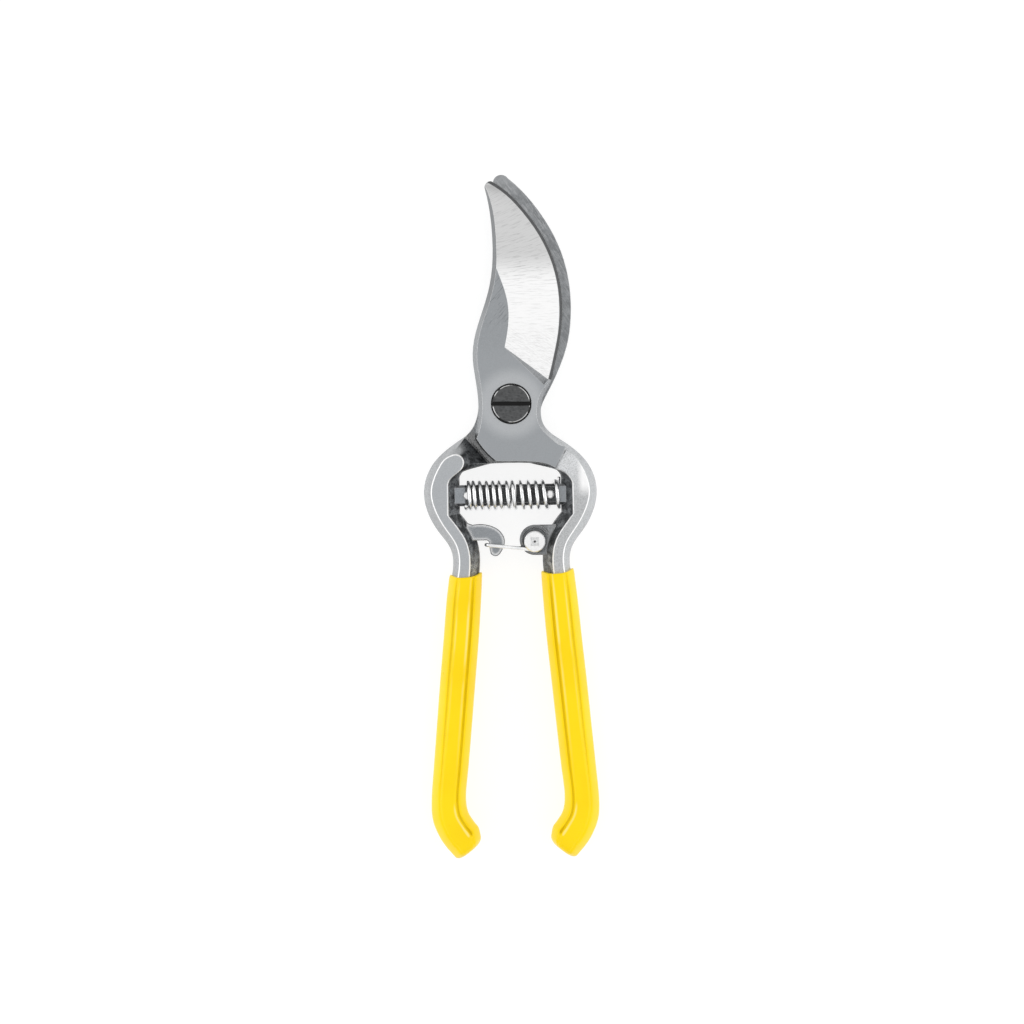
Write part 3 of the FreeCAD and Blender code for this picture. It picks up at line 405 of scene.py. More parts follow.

# The flat neck, lighter round the bolt where it was spotted, with a painted shadow ring in the gap
# at the head's seat.
NECK_LEVEL = 12.33
SEAT_RADIUS = 6.25
off_pivot = from_pivot(tree, x, y)
spotted = rise(tree, off_pivot, 12.0, 7.5)
neck = tone(tree, grey(0.345, 0.045), between(tree, fine, 0.94, 1.05))
neck = over(tree, all_of(tree, spotted, between(tree, fine, 0.7, 1.0)), neck, grey(0.47, 0.03))
scored = all_of(tree, rubbed, rise(tree, y, 18.0, 30.0))
neck = over(tree, calc(tree, "MULTIPLY", scored, 0.65), neck, grey(0.15, 0.03))
run_out = all_of(tree, rise(tree, skin, 0.35, 0.75), rise(tree, y, 13.0, 19.0))
neck = over(tree, calc(tree, "MULTIPLY", run_out, 0.18), neck, grey(0.22, 0.04))
colour = over(tree, zone["Plate"], colour, neck)
seat_shadow = all_of(tree, rise(tree, off_pivot, SEAT_RADIUS, SEAT_RADIUS - 0.13),
                   rise(tree, z, NECK_LEVEL - 0.03, NECK_LEVEL - 0.09))
colour = over(tree, seat_shadow, colour, grey(0.015))

# The wide bevel: fine lines across it that fan upwards towards the tip, over a narrow hone.
HONE_TOP = 8.73
HALF_FADE = 0.03
fan = calc(tree, "MULTIPLY", rise(tree, y, 30.0, 68.0), 0.62)
along = place(tree, "CombineXYZ", {
    "X": x, "Y": calc(tree, "SUBTRACT", y, calc(tree, "MULTIPLY", x, fan)), "Z": 0.0}).outputs[0]
ground = use(tree, scratches, Vector=along, Angle=0.0, Lines=3.2, Length=5.0, Start=0.51)["Lines"]
crossed = use(tree, scratches, Vector=spot, Angle=math.radians(28), Lines=5.0, Length=2.2,
              Start=0.48)["Lines"]
crossed = all_of(tree, crossed, rise(tree, y, 27.0, 18.0))
leaning = all_of(tree, rise(tree, upright, 0.60, 0.70), rise(tree, y, 4.0, 6.0),
                 rise(tree, upright, 0.992, 0.988))
bevel = all_of(tree, leaning, rise(tree, z, HONE_TOP - HALF_FADE, HONE_TOP + HALF_FADE))
polish = over(tree, rise(tree, y, 46.0, 36.0), grey(0.64), grey(0.95))
ground_depth = between(tree, rise(tree, y, 30.0, 42.0), 0.24, 0.52)
polish = over(tree, all_of(tree, ground, ground_depth), polish, grey(0.38))
polish = over(tree, calc(tree, "MULTIPLY", crossed, 0.28), polish, grey(0.42))
colour = over(tree, bevel, colour, polish)
# The hone is painted dark: painted shade for its steep face and the contact shadow along the edge.
hone_shade = all_of(tree, leaning, rise(tree, z, HONE_TOP + HALF_FADE, HONE_TOP - HALF_FADE),
              rise(tree, z, PARTING, PARTING + 0.05))
colour = over(tree, hone_shade, colour, grey(0.13, 0.02))

# The land of the handle, blasted, with a painted glow near its outer edge and a painted highlight
# line along its edge.
land = over(tree, rise(tree, y, -30.0, -17.0), grey(0.50, 0.015), grey(0.66, 0.015))
land = tone(tree, land, between(tree, skin, 0.78, 1.16))
painted_glow = all_of(tree, rise(tree, y, -29.0, -24.0), rise(tree, y, -12.0, -17.0),
              rise(tree, zone["Across"], 19.6, 22.0))
land = over(tree, painted_glow, land, grey(0.95))
past_neck = calc(tree, "ADD", calc(tree, "MULTIPLY", x, 0.89), calc(tree, "MULTIPLY", y, -0.45))
land_end = all_of(tree, rise(tree, z, NECK_LEVEL - 0.03, NECK_LEVEL + 0.07),
                  rise(tree, past_neck, 19.7, 21.3), rise(tree, y, -21.5, -20.5))
colour = over(tree, calc(tree, "MAXIMUM", zone["Land"], land_end), colour, land)
rim_highlight = all_of(tree, zone["Land Edge"], calc(tree, "SUBTRACT", 1.0, land_end))
colour = over(tree, rim_highlight, colour, grey(0.95))
# Worn edges painted lighter, which is partly a painted highlight on them.
colour = over(tree, calc(tree, "MULTIPLY", wear_and_highlight["Mask"], 0.7), colour, grey(0.80))
tree.links.new(colour, shader.inputs["Base Color"])

ground_flat = calc(tree, "MAXIMUM", bevel, zone["Plate"])
roughness = between(tree, skin, 0.42, 0.62)
roughness = place(tree, "Mix", {0: ground_flat, 2: roughness,
                                3: between(tree, ground, 0.30, 0.44)}).outputs[0]
tree.links.new(roughness, shader.inputs["Roughness"])
relief = place(tree, "Mix", {0: ground_flat, 2: skin,
                             3: calc(tree, "MULTIPLY", ground, 0.12)}).outputs[0]
steel_normal(tree, shader, wear_and_highlight, relief, 0.05)
give(steel["blade_arm"], arm_finish)


# ---------------------------------------------------------------- hook arm
# The other drop forging. Its hooked counter blade shows as a strip beside the blade, ground with
# crossing strokes, and its shoulder dips under the blade arm's neck, dark with forge scale and
# painted shade.

hook_finish, tree, shader = finish("hook_arm_steel", Metallic=1.0)
spot, _, y, _ = position(tree)
zone, wear_and_highlight, skin, fine, blotch = forged_skin(tree, spot)
strokes = use(tree, scratches, Vector=spot, Angle=math.radians(58), Lines=2.6, Length=4.0,
              Start=0.48)["Lines"]
in_handle = rise(tree, y, -7.5, -9.5)
not_side = calc(tree, "SUBTRACT", 1.0, zone["Side"])
bright_side = tone(tree, grey(0.46, 0.02), between(tree, skin, 0.80, 1.16))
strip = tone(tree, grey(0.250, 0.035), between(tree, fine, 0.84, 1.10))
strip = tone(tree, strip, between(tree, blotch, 0.90, 1.15))
stroke_depth = between(tree, rise(tree, y, 30.0, 55.0), 0.30, 0.65)
strip = over(tree, calc(tree, "MULTIPLY", strokes, stroke_depth), strip, grey(0.48, 0.02))
tip_shine = rise(tree, y, 61.0, 68.0)
strip = over(tree, calc(tree, "MULTIPLY", tip_shine, 0.45), strip, grey(0.44, 0.02))
colour = over(tree, not_side, bright_side, strip)

# Forge scale inside the handle and on the shoulder, darkest with painted shade where the shoulder
# dips.
scale = all_of(tree, in_handle, calc(tree, "MAXIMUM", zone["Inside"], not_side))
shoulder_scale_and_shade = all_of(tree, rise(tree, y, -21.5, -19.0), rise(tree, zone["Across"], 18.5, 16.5))
darkest = rise(tree, y, -50.0, -36.0)
scale_base = over(tree, darkest, grey(0.18, 0.03), grey(0.100, 0.04))
scale_base = over(tree, shoulder_scale_and_shade, scale_base, grey(0.060, 0.05))
scale_base = tone(tree, scale_base, between(tree, blotch, 0.50, 1.5))
colour = over(tree, scale, colour, tone(tree, scale_base, between(tree, skin, 0.36, 1.8)))
trimmed = all_of(tree, zone["Inside"], in_handle)
colour = trim_line(tree, colour, trimmed, zone, fine, 0.58)

# The tab that the latch hooks on is ground, with a painted highlight line inside painted shade on
# its rounded edge.
tab = all_of(tree, zone["Low Flat"], rise(tree, y, -32.5, -33.0))
colour = over(tree, tab, colour, tone(tree, grey(0.31, 0.05), between(tree, fine, 0.88, 1.10)))
colour = edge_shade_and_highlight(tree, colour, tab, 0.85, grey(0.85), 1.0, grey(0.07, 0.03))
colour = stud_colours(tree, colour, y, zone, skin, fine, grey(0.34, 0.06))

# The land is smoother than the blade arm's. Its edge has a painted highlight line, and its worn
# edges away from the tab are painted lighter, partly as a painted highlight.
land = tone(tree, grey(0.46, 0.035), between(tree, fine, 0.93, 1.05))
colour = over(tree, zone["Land"], colour, land)
colour = over(tree, zone["Land Edge"], colour, grey(0.95))
worn_and_highlit_edges = all_of(tree, wear_and_highlight["Mask"], between(tree, tab, 0.7, 0.0))
colour = over(tree, worn_and_highlit_edges, colour, grey(0.80))
tree.links.new(colour, shader.inputs["Base Color"])
tree.links.new(between(tree, skin, 0.38, 0.60), shader.inputs["Roughness"])
relief = place(tree, "Mix", {0: zone["Side"], 2: calc(tree, "MULTIPLY", strokes, 0.15),
                             3: skin}).outputs[0]
steel_normal(tree, shader, wear_and_highlight, relief, 0.05)
give(steel["hook_arm"], hook_finish)


# ---------------------------------------------------------------- grips
# Yellow vinyl sleeves, made by dipping the hot handles. The vinyl pools over the flat land, so a
# groove runs down each side of it. The inner groove turns into the toe and ends in a dimple.

GRIP_HALF_HEIGHT = 6.2
# Each station crosses the forged handle from its outside to its inside: X and Y of both, how deep
# the outer and the inner groove are there, and how thick the vinyl is outside and inside.
GRIP_STATIONS = [
    (18.10, -50.4, 9.60, -50.4, 0.20, 0.35, 0.62, 0.80),
    (18.85, -59.0, 10.35, -59.0, 0.45, 0.70, 0.90, 1.05),
    (19.85, -70.0, 11.25, -70.0, 0.45, 0.75, 0.92, 1.12),
    (21.15, -83.0, 12.50, -83.0, 0.40, 0.70, 0.90, 1.12),
    (22.40, -96.0, 13.75, -96.0, 0.35, 0.65, 0.82, 1.14),
    (23.45, -108.5, 14.90, -108.5, 0.25, 0.60, 0.90, 1.05),
    (24.10, -118.5, 15.45, -117.0, 0.08, 0.60, 1.10, 0.70),
    (23.80, -124.4, 14.75, -122.0, 0.0, 0.60, 1.10, 0.45),
    (22.00, -129.2, 13.05, -125.3, 0.0, 0.60, 1.05, 0.55),
    (19.90, -132.2, 12.10, -127.2, 0.0, 0.90, 1.15, 0.95),
    (18.70, -133.5, 11.82, -128.5, 0.0, 0.0, 1.20, 1.15),
    (17.60, -134.8, 11.55, -130.1, 0.0, 0.0, 1.20, 1.20),
]
# The section from an edge of the grip inwards: distance in, and height from the parting plane.
GRIP_FLANK = [(0.0, 0.0), (0.07, 0.75), (0.38, 1.7), (0.85, 2.75), (1.35, 3.75), (1.85, 4.65),
              (2.2, 5.15), (2.48, 5.38), (2.72, 5.42), (2.95, 5.55), (3.2, 5.85), (3.6, 6.08),
              (4.3, 6.18)]
# Which of those points lie in the groove, with their share of its depth, and which on its ridge.
GROOVE_SHAPE = {6: 0.15, 7: 0.55, 8: 1.0, 9: 0.75, 10: 0.25}
RIDGE = 11
SECTION_WIDTH = 10.9
# The mouth's lip, from its inside out: how far in from the section, and how far along the grip.
MOUTH = ((1.7, 0.35), (0.95, 0.0), (0.6, -0.12), (0.25, -0.1), (0.06, 0.08))
# The toe closes in a dome of this reach, in this direction.
TOE_END = Vector((-0.42, -0.91))
TOE_REACH = 1.9
TOE_TURNS = (20, 38, 54, 68, 79)
BETWEEN_STATIONS = 7
SAG_LENGTH = 7.0
HANDLE_MIDDLE = 14.0
HALF_HANDLE = 5.0


def smooth_line(points, steps):
    """Points of any dimension on a smooth curve through the given ones."""
    count = len(points)
    line = []
    for i in range(count - 1):
        a, b, c, d = (points[max(i - 1, 0)], points[i], points[i + 1],
                      points[min(i + 2, count - 1)])
        for k in range(steps):
            t = k / steps
            line.append(tuple(
                0.5 * (2 * q + (r - p) * t + (2 * p - 5 * q + 4 * r - s) * t * t
                       + (3 * q - p - 3 * r + s) * t ** 3)
                for p, q, r, s in zip(a, b, c, d)))
    line.append(tuple(points[-1]))
    return line


def grip_ring(station, inset=0.0, shrink=1.0, flatten=1.0, ahead=0.0):
    """One section of a grip: (x, y, z, groove, ridge) round it, front first, from the outside."""
    outer = Vector(station[0:2])
    inner = Vector(station[2:4])
    across = (inner - outer).normalized()
    width = (inner - outer).length + station[6] + station[7]
    start = outer - across * station[6]
    narrow = min(1.0, width / SECTION_WIDTH)
    flanks = []
    for depth in station[4:6]:
        depth = max(depth, 0.0)
        flank = []
        for i, (distance_in, height) in enumerate(GRIP_FLANK):
            groove = GROOVE_SHAPE.get(i, 0.0) * depth
            ridge = depth if i == RIDGE else 0.0
            reach = distance_in * narrow
            flank.append((width - reach if flanks else reach, height - groove, groove, ridge))
        flanks.append(flank)
    top = flanks[0] + [(width / 2, GRIP_HALF_HEIGHT, 0.0, 0.0)] + flanks[1][::-1]
    bottom = [(reach, -height, groove, ridge) for reach, height, groove, ridge in top[-2:0:-1]]
    ring = []
    width_scale = shrink * (1 - inset / (width / 2))
    height_scale = flatten * (1 - inset / GRIP_HALF_HEIGHT)
    for reach, height, groove, ridge in top + bottom:
        reach = width / 2 + (reach - width / 2) * width_scale
        flat_spot = start + across * reach + TOE_END * ahead
        ring.append((flat_spot.x, flat_spot.y, height * height_scale, groove, ridge))
    return ring


def skinned(name, rings):
    """A mesh through rings of equal length, closed at both ends."""
    count = len(rings[0])
    verts = [spot for ring in rings for spot in ring]
    faces = []
    for i in range(len(rings) - 1):
        for j in range(count):
            k = (j + 1) % count
            faces.append((i * count + j, i * count + k, (i + 1) * count + k, (i + 1) * count + j))
    faces.append(tuple(range(count))[::-1])
    last = (len(rings) - 1) * count
    faces.append(tuple(range(last, last + count)))
    mesh = bpy.data.meshes.new(name)
    mesh.from_pydata(verts, [], faces)
    mesh.polygons.foreach_set("use_smooth", [True] * len(faces))
    mesh.update()
    made = bpy.data.objects.new(name, mesh)
    scene.collection.objects.link(made)
    return made


def grip_mesh(name, mirror, top, lift):
    """A dipped grip for the right handle, or for the left one if mirror is -1.

    lift is how much higher the inner edge is dipped than the middle; below 0 it is lower.
    """
    stations = [list(station) for station in GRIP_STATIONS]
    stations[0][1] = stations[0][3] = top
    line = smooth_line([tuple(station) for station in stations], BETWEEN_STATIONS)
    rings = [grip_ring(line[0], inset=inset, ahead=ahead) for inset, ahead in MOUTH]
    rings += [grip_ring(station) for station in line[1:]]
    for turn in TOE_TURNS:
        angle = math.radians(turn)
        rings.append(grip_ring(line[-1], shrink=0.36 + 0.64 * math.cos(angle),
                               flatten=0.35 + 0.65 * math.cos(angle) ** 0.8,
                               ahead=TOE_REACH * math.sin(angle)))
    placed = []
    grooves = []
    ridges = []
    for ring in rings:
        spots = []
        for spot_x, spot_y, spot_z, groove, ridge in ring:
            # The dipping line sags over the land and stands higher at the sides.
            near_top = max(0.0, 1 - (top - spot_y) / SAG_LENGTH) ** 2
            sag = 0.75 - 1.25 * abs(spot_z) / GRIP_HALF_HEIGHT
            inner_side = (HANDLE_MIDDLE - spot_x) / HALF_HANDLE
            spot_y += near_top * (sag + lift * inner_side)
            spots.append(((CENTRE_LINE + mirror * spot_x) * MM, spot_y * MM,
                          (PARTING + spot_z) * MM))
            grooves.append(groove)
            ridges.append(ridge)
        placed.append(spots)
    made = skinned(name, placed)
    for title, marks in (("groove", grooves), ("ridge", ridges)):
        attribute = made.data.attributes.new(title, "FLOAT", "POINT")
        attribute.data.foreach_set("value", marks)
    if mirror > 0:
        made.data.flip_normals()
    smooth = made.modifiers.new("smooth", "SUBSURF")
    smooth.levels = smooth.render_levels = 2
    return made


vinyl, tree, shader = finish("yellow_vinyl", Coat_Weight=0.08, Coat_Roughness=0.15, IOR=1.24)
spot, _, y, _ = position(tree)
groove = place(tree, "Attribute", attribute_name="groove").outputs["Fac"]
ridge = place(tree, "Attribute", attribute_name="ridge").outputs["Fac"]
cloud = place(tree, "TexNoise", {"Vector": spot, "Scale": 0.06, "Detail": 3.0}).outputs[0]
peel = place(tree, "TexNoise", {"Vector": spot, "Scale": 0.9, "Detail": 2.0}).outputs[0]
body_yellow = over(tree, rise(tree, cloud, 0.35, 0.65), (0.97, 0.675, 0.0005, 1.0),
                   (0.99, 0.715, 0.002, 1.0))
# Pale streaks beside the grooves, on the upper grip and in the toe, are painted highlights.
upper_streak = all_of(tree, rise(tree, y, -118.0, -62.0), rise(tree, cloud, 0.30, 0.55))
toe_streak = rise(tree, y, -119.0, -122.0)
highlight_streaks = all_of(tree, rise(tree, ridge, 0.10, 0.60),
                     calc(tree, "MAXIMUM", upper_streak, toe_streak))
body_yellow = over(tree, calc(tree, "MULTIPLY", highlight_streaks, 0.8), body_yellow,
                   (1.0, 0.83, 0.25, 1.0))
# The grooves are painted darker: painted shade in them.
groove_shade = over(tree, rise(tree, groove, 0.03, 0.55), body_yellow, (0.80, 0.56, 0.001, 1.0))
tree.links.new(groove_shade, shader.inputs["Base Color"])
tree.links.new(between(tree, peel, 0.24, 0.36), shader.inputs["Roughness"])
bump = place(tree, "Bump", {"Height": peel, "Distance": 0.03 * MM, "Strength": 0.5})
tree.links.new(bump.outputs[0], shader.inputs["Normal"])

for name, body, mirror, top, lift in (("left_grip", "hook_half", -1, -51.5, 0.35),
                                      ("right_grip", "blade_half", 1, -50.7, -0.35)):
    grip = grip_mesh(name + "_vinyl", mirror, top, lift)
    grip.data.materials.append(vinyl)
    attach(grip, body)
    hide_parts(name)


# ---------------------------------------------------------------- pivot bolt, washer and nut
# A slotted bolt with a black oxide finish holds the arms together. Its turned head sits in a
# spotted seat in the blade arm, and a plain washer and a thin nut close it at the back.

def lathe(name, profile, turns, at=(0.0, 0.0)):
    """A turned piece: each point of the profile is a radius and a height."""
    rings = []
    for radius, height in profile:
        ring = []
        for k in range(turns):
            angle = 2 * math.pi * k / turns
            ring.append(((at[0] + radius * math.cos(angle)) * MM,
                         (at[1] + radius * math.sin(angle)) * MM, height * MM))
        rings.append(ring)
    return skinned(name, rings)


BOLT_SHANK = 4.0
BOLT_SEAT = 11.36
BOLT_HEAD = 5.75
BOLT_HEAD_TOP = 13.86
bolt = lathe("pivot_bolt_turned", [
    (3.3, 0.30), (3.45, 0.32), (3.96, 0.86), (BOLT_SHANK, 0.95), (BOLT_SHANK, BOLT_SEAT + 0.001),
    (5.55, BOLT_SEAT + 0.002), (5.72, BOLT_SEAT + 0.1), (BOLT_HEAD, BOLT_SEAT + 0.25),
    (BOLT_HEAD, 13.44), (5.72, 13.54), (5.50, 13.79), (5.42, 13.84), (5.2, BOLT_HEAD_TOP),
    (2.0, BOLT_HEAD_TOP)], 96)

# The sawn slot, cut with a block that reaches past the head, then all edges eased.
HALF_SLOT = 0.62
SLOT_FLOOR = 12.76
SLOT_REACH = 7.0
SLOT_TOP = 15.0
slot_cutter = bpy.data.meshes.new("slot_cutter")
corners = [(sx * SLOT_REACH * MM, sy * HALF_SLOT * MM, h * MM)
           for h in (SLOT_FLOOR, SLOT_TOP) for sx, sy in ((-1, -1), (1, -1), (1, 1), (-1, 1))]
slot_cutter.from_pydata(corners, [], [(3, 2, 1, 0), (4, 5, 6, 7), (0, 1, 5, 4), (1, 2, 6, 5),
                                      (2, 3, 7, 6), (3, 0, 4, 7)])
cutter = bpy.data.objects.new("slot_cutter", slot_cutter)
cutter.rotation_euler = (0.0, 0.0, -LEAN)
scene.collection.objects.link(cutter)
cut = bolt.modifiers.new("slot", "BOOLEAN")
cut.object = cutter
cut.solver = "EXACT"
eased = bolt.modifiers.new("eased", "BEVEL")
eased.width = 0.09 * MM
eased.segments = 2
eased.angle_limit = math.radians(50)
bpy.context.view_layer.update()
shown = bolt.evaluated_get(bpy.context.evaluated_depsgraph_get())
cut_mesh = bpy.data.meshes.new_from_object(shown)
bolt.modifiers.clear()
bolt.data = cut_mesh
cut_mesh.polygons.foreach_set("use_smooth", [True] * len(cut_mesh.polygons))
cut_mesh.set_sharp_from_angle(angle=math.radians(35))
bpy.data.objects.remove(cutter)

oxide, tree, shader = finish("black_oxide", Metallic=1.0)
spot, x, y, z = position(tree)
wear_and_highlight = use(tree, edge_wear_and_highlight, Radius=0.12, Strength=1.2)
radius = from_pivot(tree, x, y)
turning = place(tree, "CombineXYZ", {"X": calc(tree, "MULTIPLY", radius, 9.0)}).outputs[0]
tool_marks = place(tree, "TexNoise", {"Vector": turning, "Scale": 1.0, "Detail": 3.0}).outputs[0]
brushed = use(tree, scratches, Vector=spot, Angle=math.radians(4), Lines=5.0, Length=2.5,
              Start=0.50)["Lines"]
patch = use(tree, grain, Vector=spot, Size=1.6)["Grain"]
head = tone(tree, grey(0.078, 0.02), between(tree, patch, 0.85, 1.25))
head = over(tree, calc(tree, "MULTIPLY", brushed, 0.6), head, grey(0.15, 0.02))
near_front = rise(tree, z, 13.1, 13.2)
# The outer chamfer is painted darker: painted shade round the head's rim.
chamfer_shade = all_of(tree, rise(tree, radius, 5.40, 5.48), near_front)
head = over(tree, chamfer_shade, head, grey(0.045))
# Broken bright arcs on the chamfer's inner lip are painted highlights.
arcs = place(tree, "TexNoise", {"Vector": spot, "Scale": 0.22}).outputs[0]
lip_highlight = all_of(tree, rise(tree, radius, 5.30, 5.42), rise(tree, radius, 5.66, 5.56),
             near_front, rise(tree, arcs, 0.49, 0.57))
head = over(tree, lip_highlight, head, grey(0.62))
# Worn edges painted lighter, partly as a painted highlight.
head = over(tree, calc(tree, "MULTIPLY", wear_and_highlight["Mask"], 0.25), head, grey(0.40))
# The slot is painted near black: painted shade inside it.
leaned = calc(tree, "ADD", y, calc(tree, "MULTIPLY", x, math.tan(LEAN)))
across_slot = calc(tree, "ABSOLUTE", leaned)
slot_shade = all_of(tree, rise(tree, across_slot, HALF_SLOT + 0.04, HALF_SLOT - 0.04),
                 rise(tree, z, BOLT_HEAD_TOP - 0.06, BOLT_HEAD_TOP - 0.16),
                 rise(tree, z, 12.5, 12.7))
head = over(tree, slot_shade, head, grey(0.02))
tree.links.new(head, shader.inputs["Base Color"])
tree.links.new(between(tree, tool_marks, 0.32, 0.50), shader.inputs["Roughness"])
steel_normal(tree, shader, wear_and_highlight, tool_marks, 0.012)
give(bolt, oxide)
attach(bolt, "hook_half")
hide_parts("pivot_bolt")

zinc, tree, shader = finish("zinc_plate", Metallic=1.0)
spot = position(tree)[0]
wear_and_highlight = use(tree, edge_wear_and_highlight, Radius=0.2, Strength=1.0)
spangle = place(tree, "TexVoronoi", {"Vector": spot, "Scale": 0.9}, feature="SMOOTH_F1")
rub = use(tree, scratches, Vector=spot, Angle=math.radians(63), Lines=4.0, Length=2.5,
          Start=0.52)["Lines"]
plated = over(tree, rise(tree, spangle.outputs["Distance"], 0.1, 0.7), grey(0.45, 0.02),
              (0.55, 0.55, 0.53, 1.0))
plated = over(tree, calc(tree, "MULTIPLY", rub, 0.35), plated, grey(0.32, 0.02))
# Worn edges painted lighter, partly as a painted highlight.
plated = over(tree, calc(tree, "MULTIPLY", wear_and_highlight["Mask"], 0.6), plated, grey(0.78))
tree.links.new(plated, shader.inputs["Base Color"])
tree.links.new(between(tree, spangle.outputs["Distance"], 0.26, 0.42), shader.inputs["Roughness"])
steel_normal(tree, shader, wear_and_highlight, rub, 0.01)
for name in ("pivot_washer", "pivot_nut"):
    give(steel[name], zinc)


# ---------------------------------------------------------------- return spring
# A coil of bright spring wire over the two studs. Its turns are uneven: some are closer than
# others and the last one stands off. Its right end is left pointing up behind the coil.

WIRE = 0.6
COIL = 4.08
STUD_Y = -27.3
PER_TURN = 36
TAIL = (0.8, 1.8, 2.9, 4.0, 5.0)
# X of each turn where it crosses the front.
FRONT_CROSSINGS = [-13.0, -11.45, -9.5, -7.5, -5.6, -3.7, -1.5, 0.3, 2.8, 5.05, 7.3, 9.55, 13.4]


def tube(name, path, radius, sides):
    """A wire along a path of millimetre points, with domed ends."""
    points = [Vector(point) for point in path]
    rings = []
    ahead = (points[1] - points[0]).normalized()
    side_way = ahead.orthogonal().normalized()
    for i, point in enumerate(points):
        ahead = (points[min(i + 1, len(points) - 1)] - points[max(i - 1, 0)]).normalized()
        side_way = (side_way - ahead * side_way.dot(ahead)).normalized()
        up_way = ahead.cross(side_way)
        steps = [(0.0, 1.0)]
        if i == 0:
            steps = [(-1.0, 0.25), (-0.85, 0.62), (-0.45, 0.92), (0.0, 1.0)]
        if i == len(points) - 1:
            steps = [(0.0, 1.0), (0.45, 0.92), (0.85, 0.62), (1.0, 0.25)]
        for forward, share in steps:
            middle = point + ahead * forward * radius * 0.6
            rings.append([tuple((middle + (side_way * math.cos(angle) + up_way * math.sin(angle))
                                 * radius * share) * MM)
                          for angle in (2 * math.pi * k / sides for k in range(sides))])
    return skinned(name, rings)


def coil_point(turn, along_x):
    """The wire's middle after that many turns, at that X."""
    angle = 2 * math.pi * turn
    return (along_x, STUD_Y + COIL * math.sin(-angle), PARTING + COIL * math.cos(angle))


turn_line = [(-14.6,), (-14.2,)] + [(crossing,) for crossing in FRONT_CROSSINGS] + [(13.8,)]
wound = smooth_line(turn_line, PER_TURN)
first = int(PER_TURN * 1.15)
last = PER_TURN * (len(FRONT_CROSSINGS) + 1) + PER_TURN // 2
coil = [coil_point(i / PER_TURN, wound[i][0]) for i in range(first, last + 1)]
end = Vector(coil[-1])
for lift in TAIL:
    coil.append((end.x + 0.02 * lift, end.y + lift, end.z + 0.03 * lift))
spring = tube("return_spring_coil", coil, WIRE, 14)

bright, tree, shader = finish("bright_wire", Metallic=1.0)
spot = position(tree)[0]
drawn_lines = place(tree, "TexNoise", {"Vector": spot, "Scale": 1.6, "Detail": 4.0}).outputs[0]
dull = place(tree, "TexNoise", {"Vector": spot, "Scale": 0.35, "Detail": 2.0}).outputs[0]
silver = over(tree, rise(tree, dull, 0.4, 0.65), grey(0.93), grey(0.80, 0.01))
tree.links.new(silver, shader.inputs["Base Color"])
tree.links.new(between(tree, drawn_lines, 0.10, 0.26), shader.inputs["Roughness"])
bump = place(tree, "Bump", {"Height": drawn_lines, "Distance": 0.01 * MM, "Strength": 0.6})
tree.links.new(bump.outputs[0], shader.inputs["Normal"])
spring.data.materials.append(bright)
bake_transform(spring)
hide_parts("return_spring")


# ---------------------------------------------------------------- spring pins
# A plain steel pin through each stud keeps the spring on it. Both ends are domed.

PIN_RADIUS = 1.25
PIN_SHOULDER = 2.55
PIN_END = 3.10


def dome(radius, foot, top, steps):
    """The profile of a domed end, from its foot to its top."""
    return [(radius * math.cos(angle), foot + (top - foot) * math.sin(angle))
            for angle in (math.pi / 2 * k / steps * 0.94 for k in range(steps + 1))]


pin_steel, tree, shader = finish("bright_pin", Metallic=1.0)
spot = position(tree)[0]
wear_and_highlight = use(tree, edge_wear_and_highlight, Radius=0.1, Strength=1.0)
speckle = use(tree, grain, Vector=spot, Size=0.5)["Grain"]
plate_colour = over(tree, speckle, grey(0.95), grey(0.84))
tree.links.new(plate_colour, shader.inputs["Base Color"])
tree.links.new(between(tree, speckle, 0.22, 0.40), shader.inputs["Roughness"])
steel_normal(tree, shader, wear_and_highlight, speckle, 0.012)
for name, body, at_x in (("left_spring_pin", "hook_half", -13.6),
                         ("right_spring_pin", "blade_half", 11.2)):
    end_dome = dome(PIN_RADIUS, PIN_SHOULDER, PIN_END, 7)
    profile = [(r, PARTING - h) for r, h in end_dome[::-1]]
    profile += [(r, PARTING + h) for r, h in end_dome]
    pin = lathe(name + "_domed", profile, 40, (at_x, STUD_Y))
    pin.data.materials.append(pin_steel)
    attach(pin, body)
    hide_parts(name)


# ---------------------------------------------------------------- latch
# A bail of bright wire swings on a rivet in the blade arm's ear and drops behind the hook arm's
# tab. The rivet is headed at the back, and its square end is peened over a washer in front.

RIVET_SPOT = (6.4, -41.4)
RIVET_SHANK = 1.75
RIVET_HEAD = 3.2
RIVET_HALF_SQUARE = 1.2
ROUND_THE_SQUARE = 48


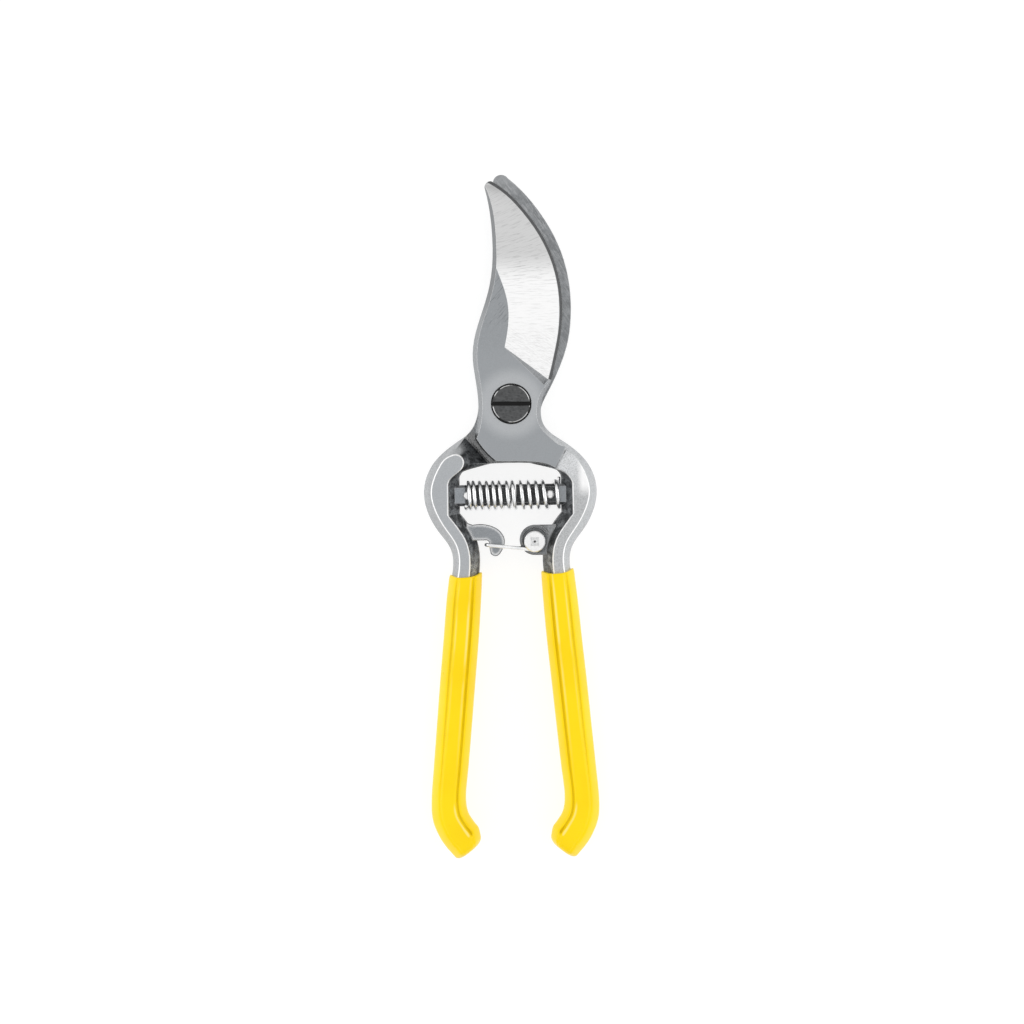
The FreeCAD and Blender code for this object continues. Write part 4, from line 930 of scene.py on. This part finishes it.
def rivet_ring(reach, height, squareness):
    """A ring round the rivet: a circle, or a square with eased corners at squareness 1."""
    ring = []
    for k in range(ROUND_THE_SQUARE):
        angle = 2 * math.pi * k / ROUND_THE_SQUARE
        cos, sin = math.cos(angle), math.sin(angle)
        to_square = 1 / (abs(cos) ** 10 + abs(sin) ** 10) ** 0.1
        span = reach * (1 + squareness * (to_square - 1))
        ring.append(((RIVET_SPOT[0] + span * cos) * MM, (RIVET_SPOT[1] + span * sin) * MM,
                     height * MM))
    return ring


back, front = (corner[2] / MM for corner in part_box("latch_rivet"))
under, over_washer = (corner[2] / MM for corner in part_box("latch_washer"))
head_front = back + over_washer - under
peened = skinned("latch_rivet_peened", [rivet_ring(*step) for step in (
    (2.50, back, 0), (2.95, back + 0.07, 0), (3.14, back + 0.22, 0),
    (RIVET_HEAD, back + 0.42, 0), (RIVET_HEAD, head_front - 0.02, 0),
    (RIVET_SHANK, head_front, 0), (RIVET_SHANK, under - 0.02, 0),
    (RIVET_HALF_SQUARE, under, 1), (RIVET_HALF_SQUARE, front - 0.09, 1),
    (RIVET_HALF_SQUARE - 0.03, front - 0.03, 1), (RIVET_HALF_SQUARE - 0.10, front, 1),
    (0.34, front, 0), (0.27, front - 0.05, 0), (0.10, front - 0.28, 0))])
peened.data.set_sharp_from_angle(angle=math.radians(40))
peened_steel, tree, shader = finish("peened_steel", Metallic=1.0)
spot, x, y, z = position(tree)
wear_and_highlight = use(tree, edge_wear_and_highlight, Radius=0.08, Strength=1.0)
hammered = use(tree, grain, Vector=spot, Size=0.6)["Grain"]
peen = over(tree, hammered, grey(0.78), grey(0.62, 0.01))
off_centre = place(tree, "VectorMath", {
    0: place(tree, "CombineXYZ", {"X": x, "Y": y}).outputs[0],
    1: RIVET_SPOT + (0.0,)}, operation="DISTANCE").outputs["Value"]
# The punched dimple is painted dark: painted shade inside it.
dimple_shade = all_of(tree, rise(tree, off_centre, 0.40, 0.30), rise(tree, z, front - 0.6, front - 0.5))
peen = over(tree, dimple_shade, peen, grey(0.10))
tree.links.new(peen, shader.inputs["Base Color"])
tree.links.new(between(tree, hammered, 0.30, 0.46), shader.inputs["Roughness"])
steel_normal(tree, shader, wear_and_highlight, hammered, 0.02)
peened.data.materials.append(peened_steel)
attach(peened, "blade_half")
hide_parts("latch_rivet")

give(steel["latch_wire"], bright)
give(steel["latch_washer"], pin_steel)
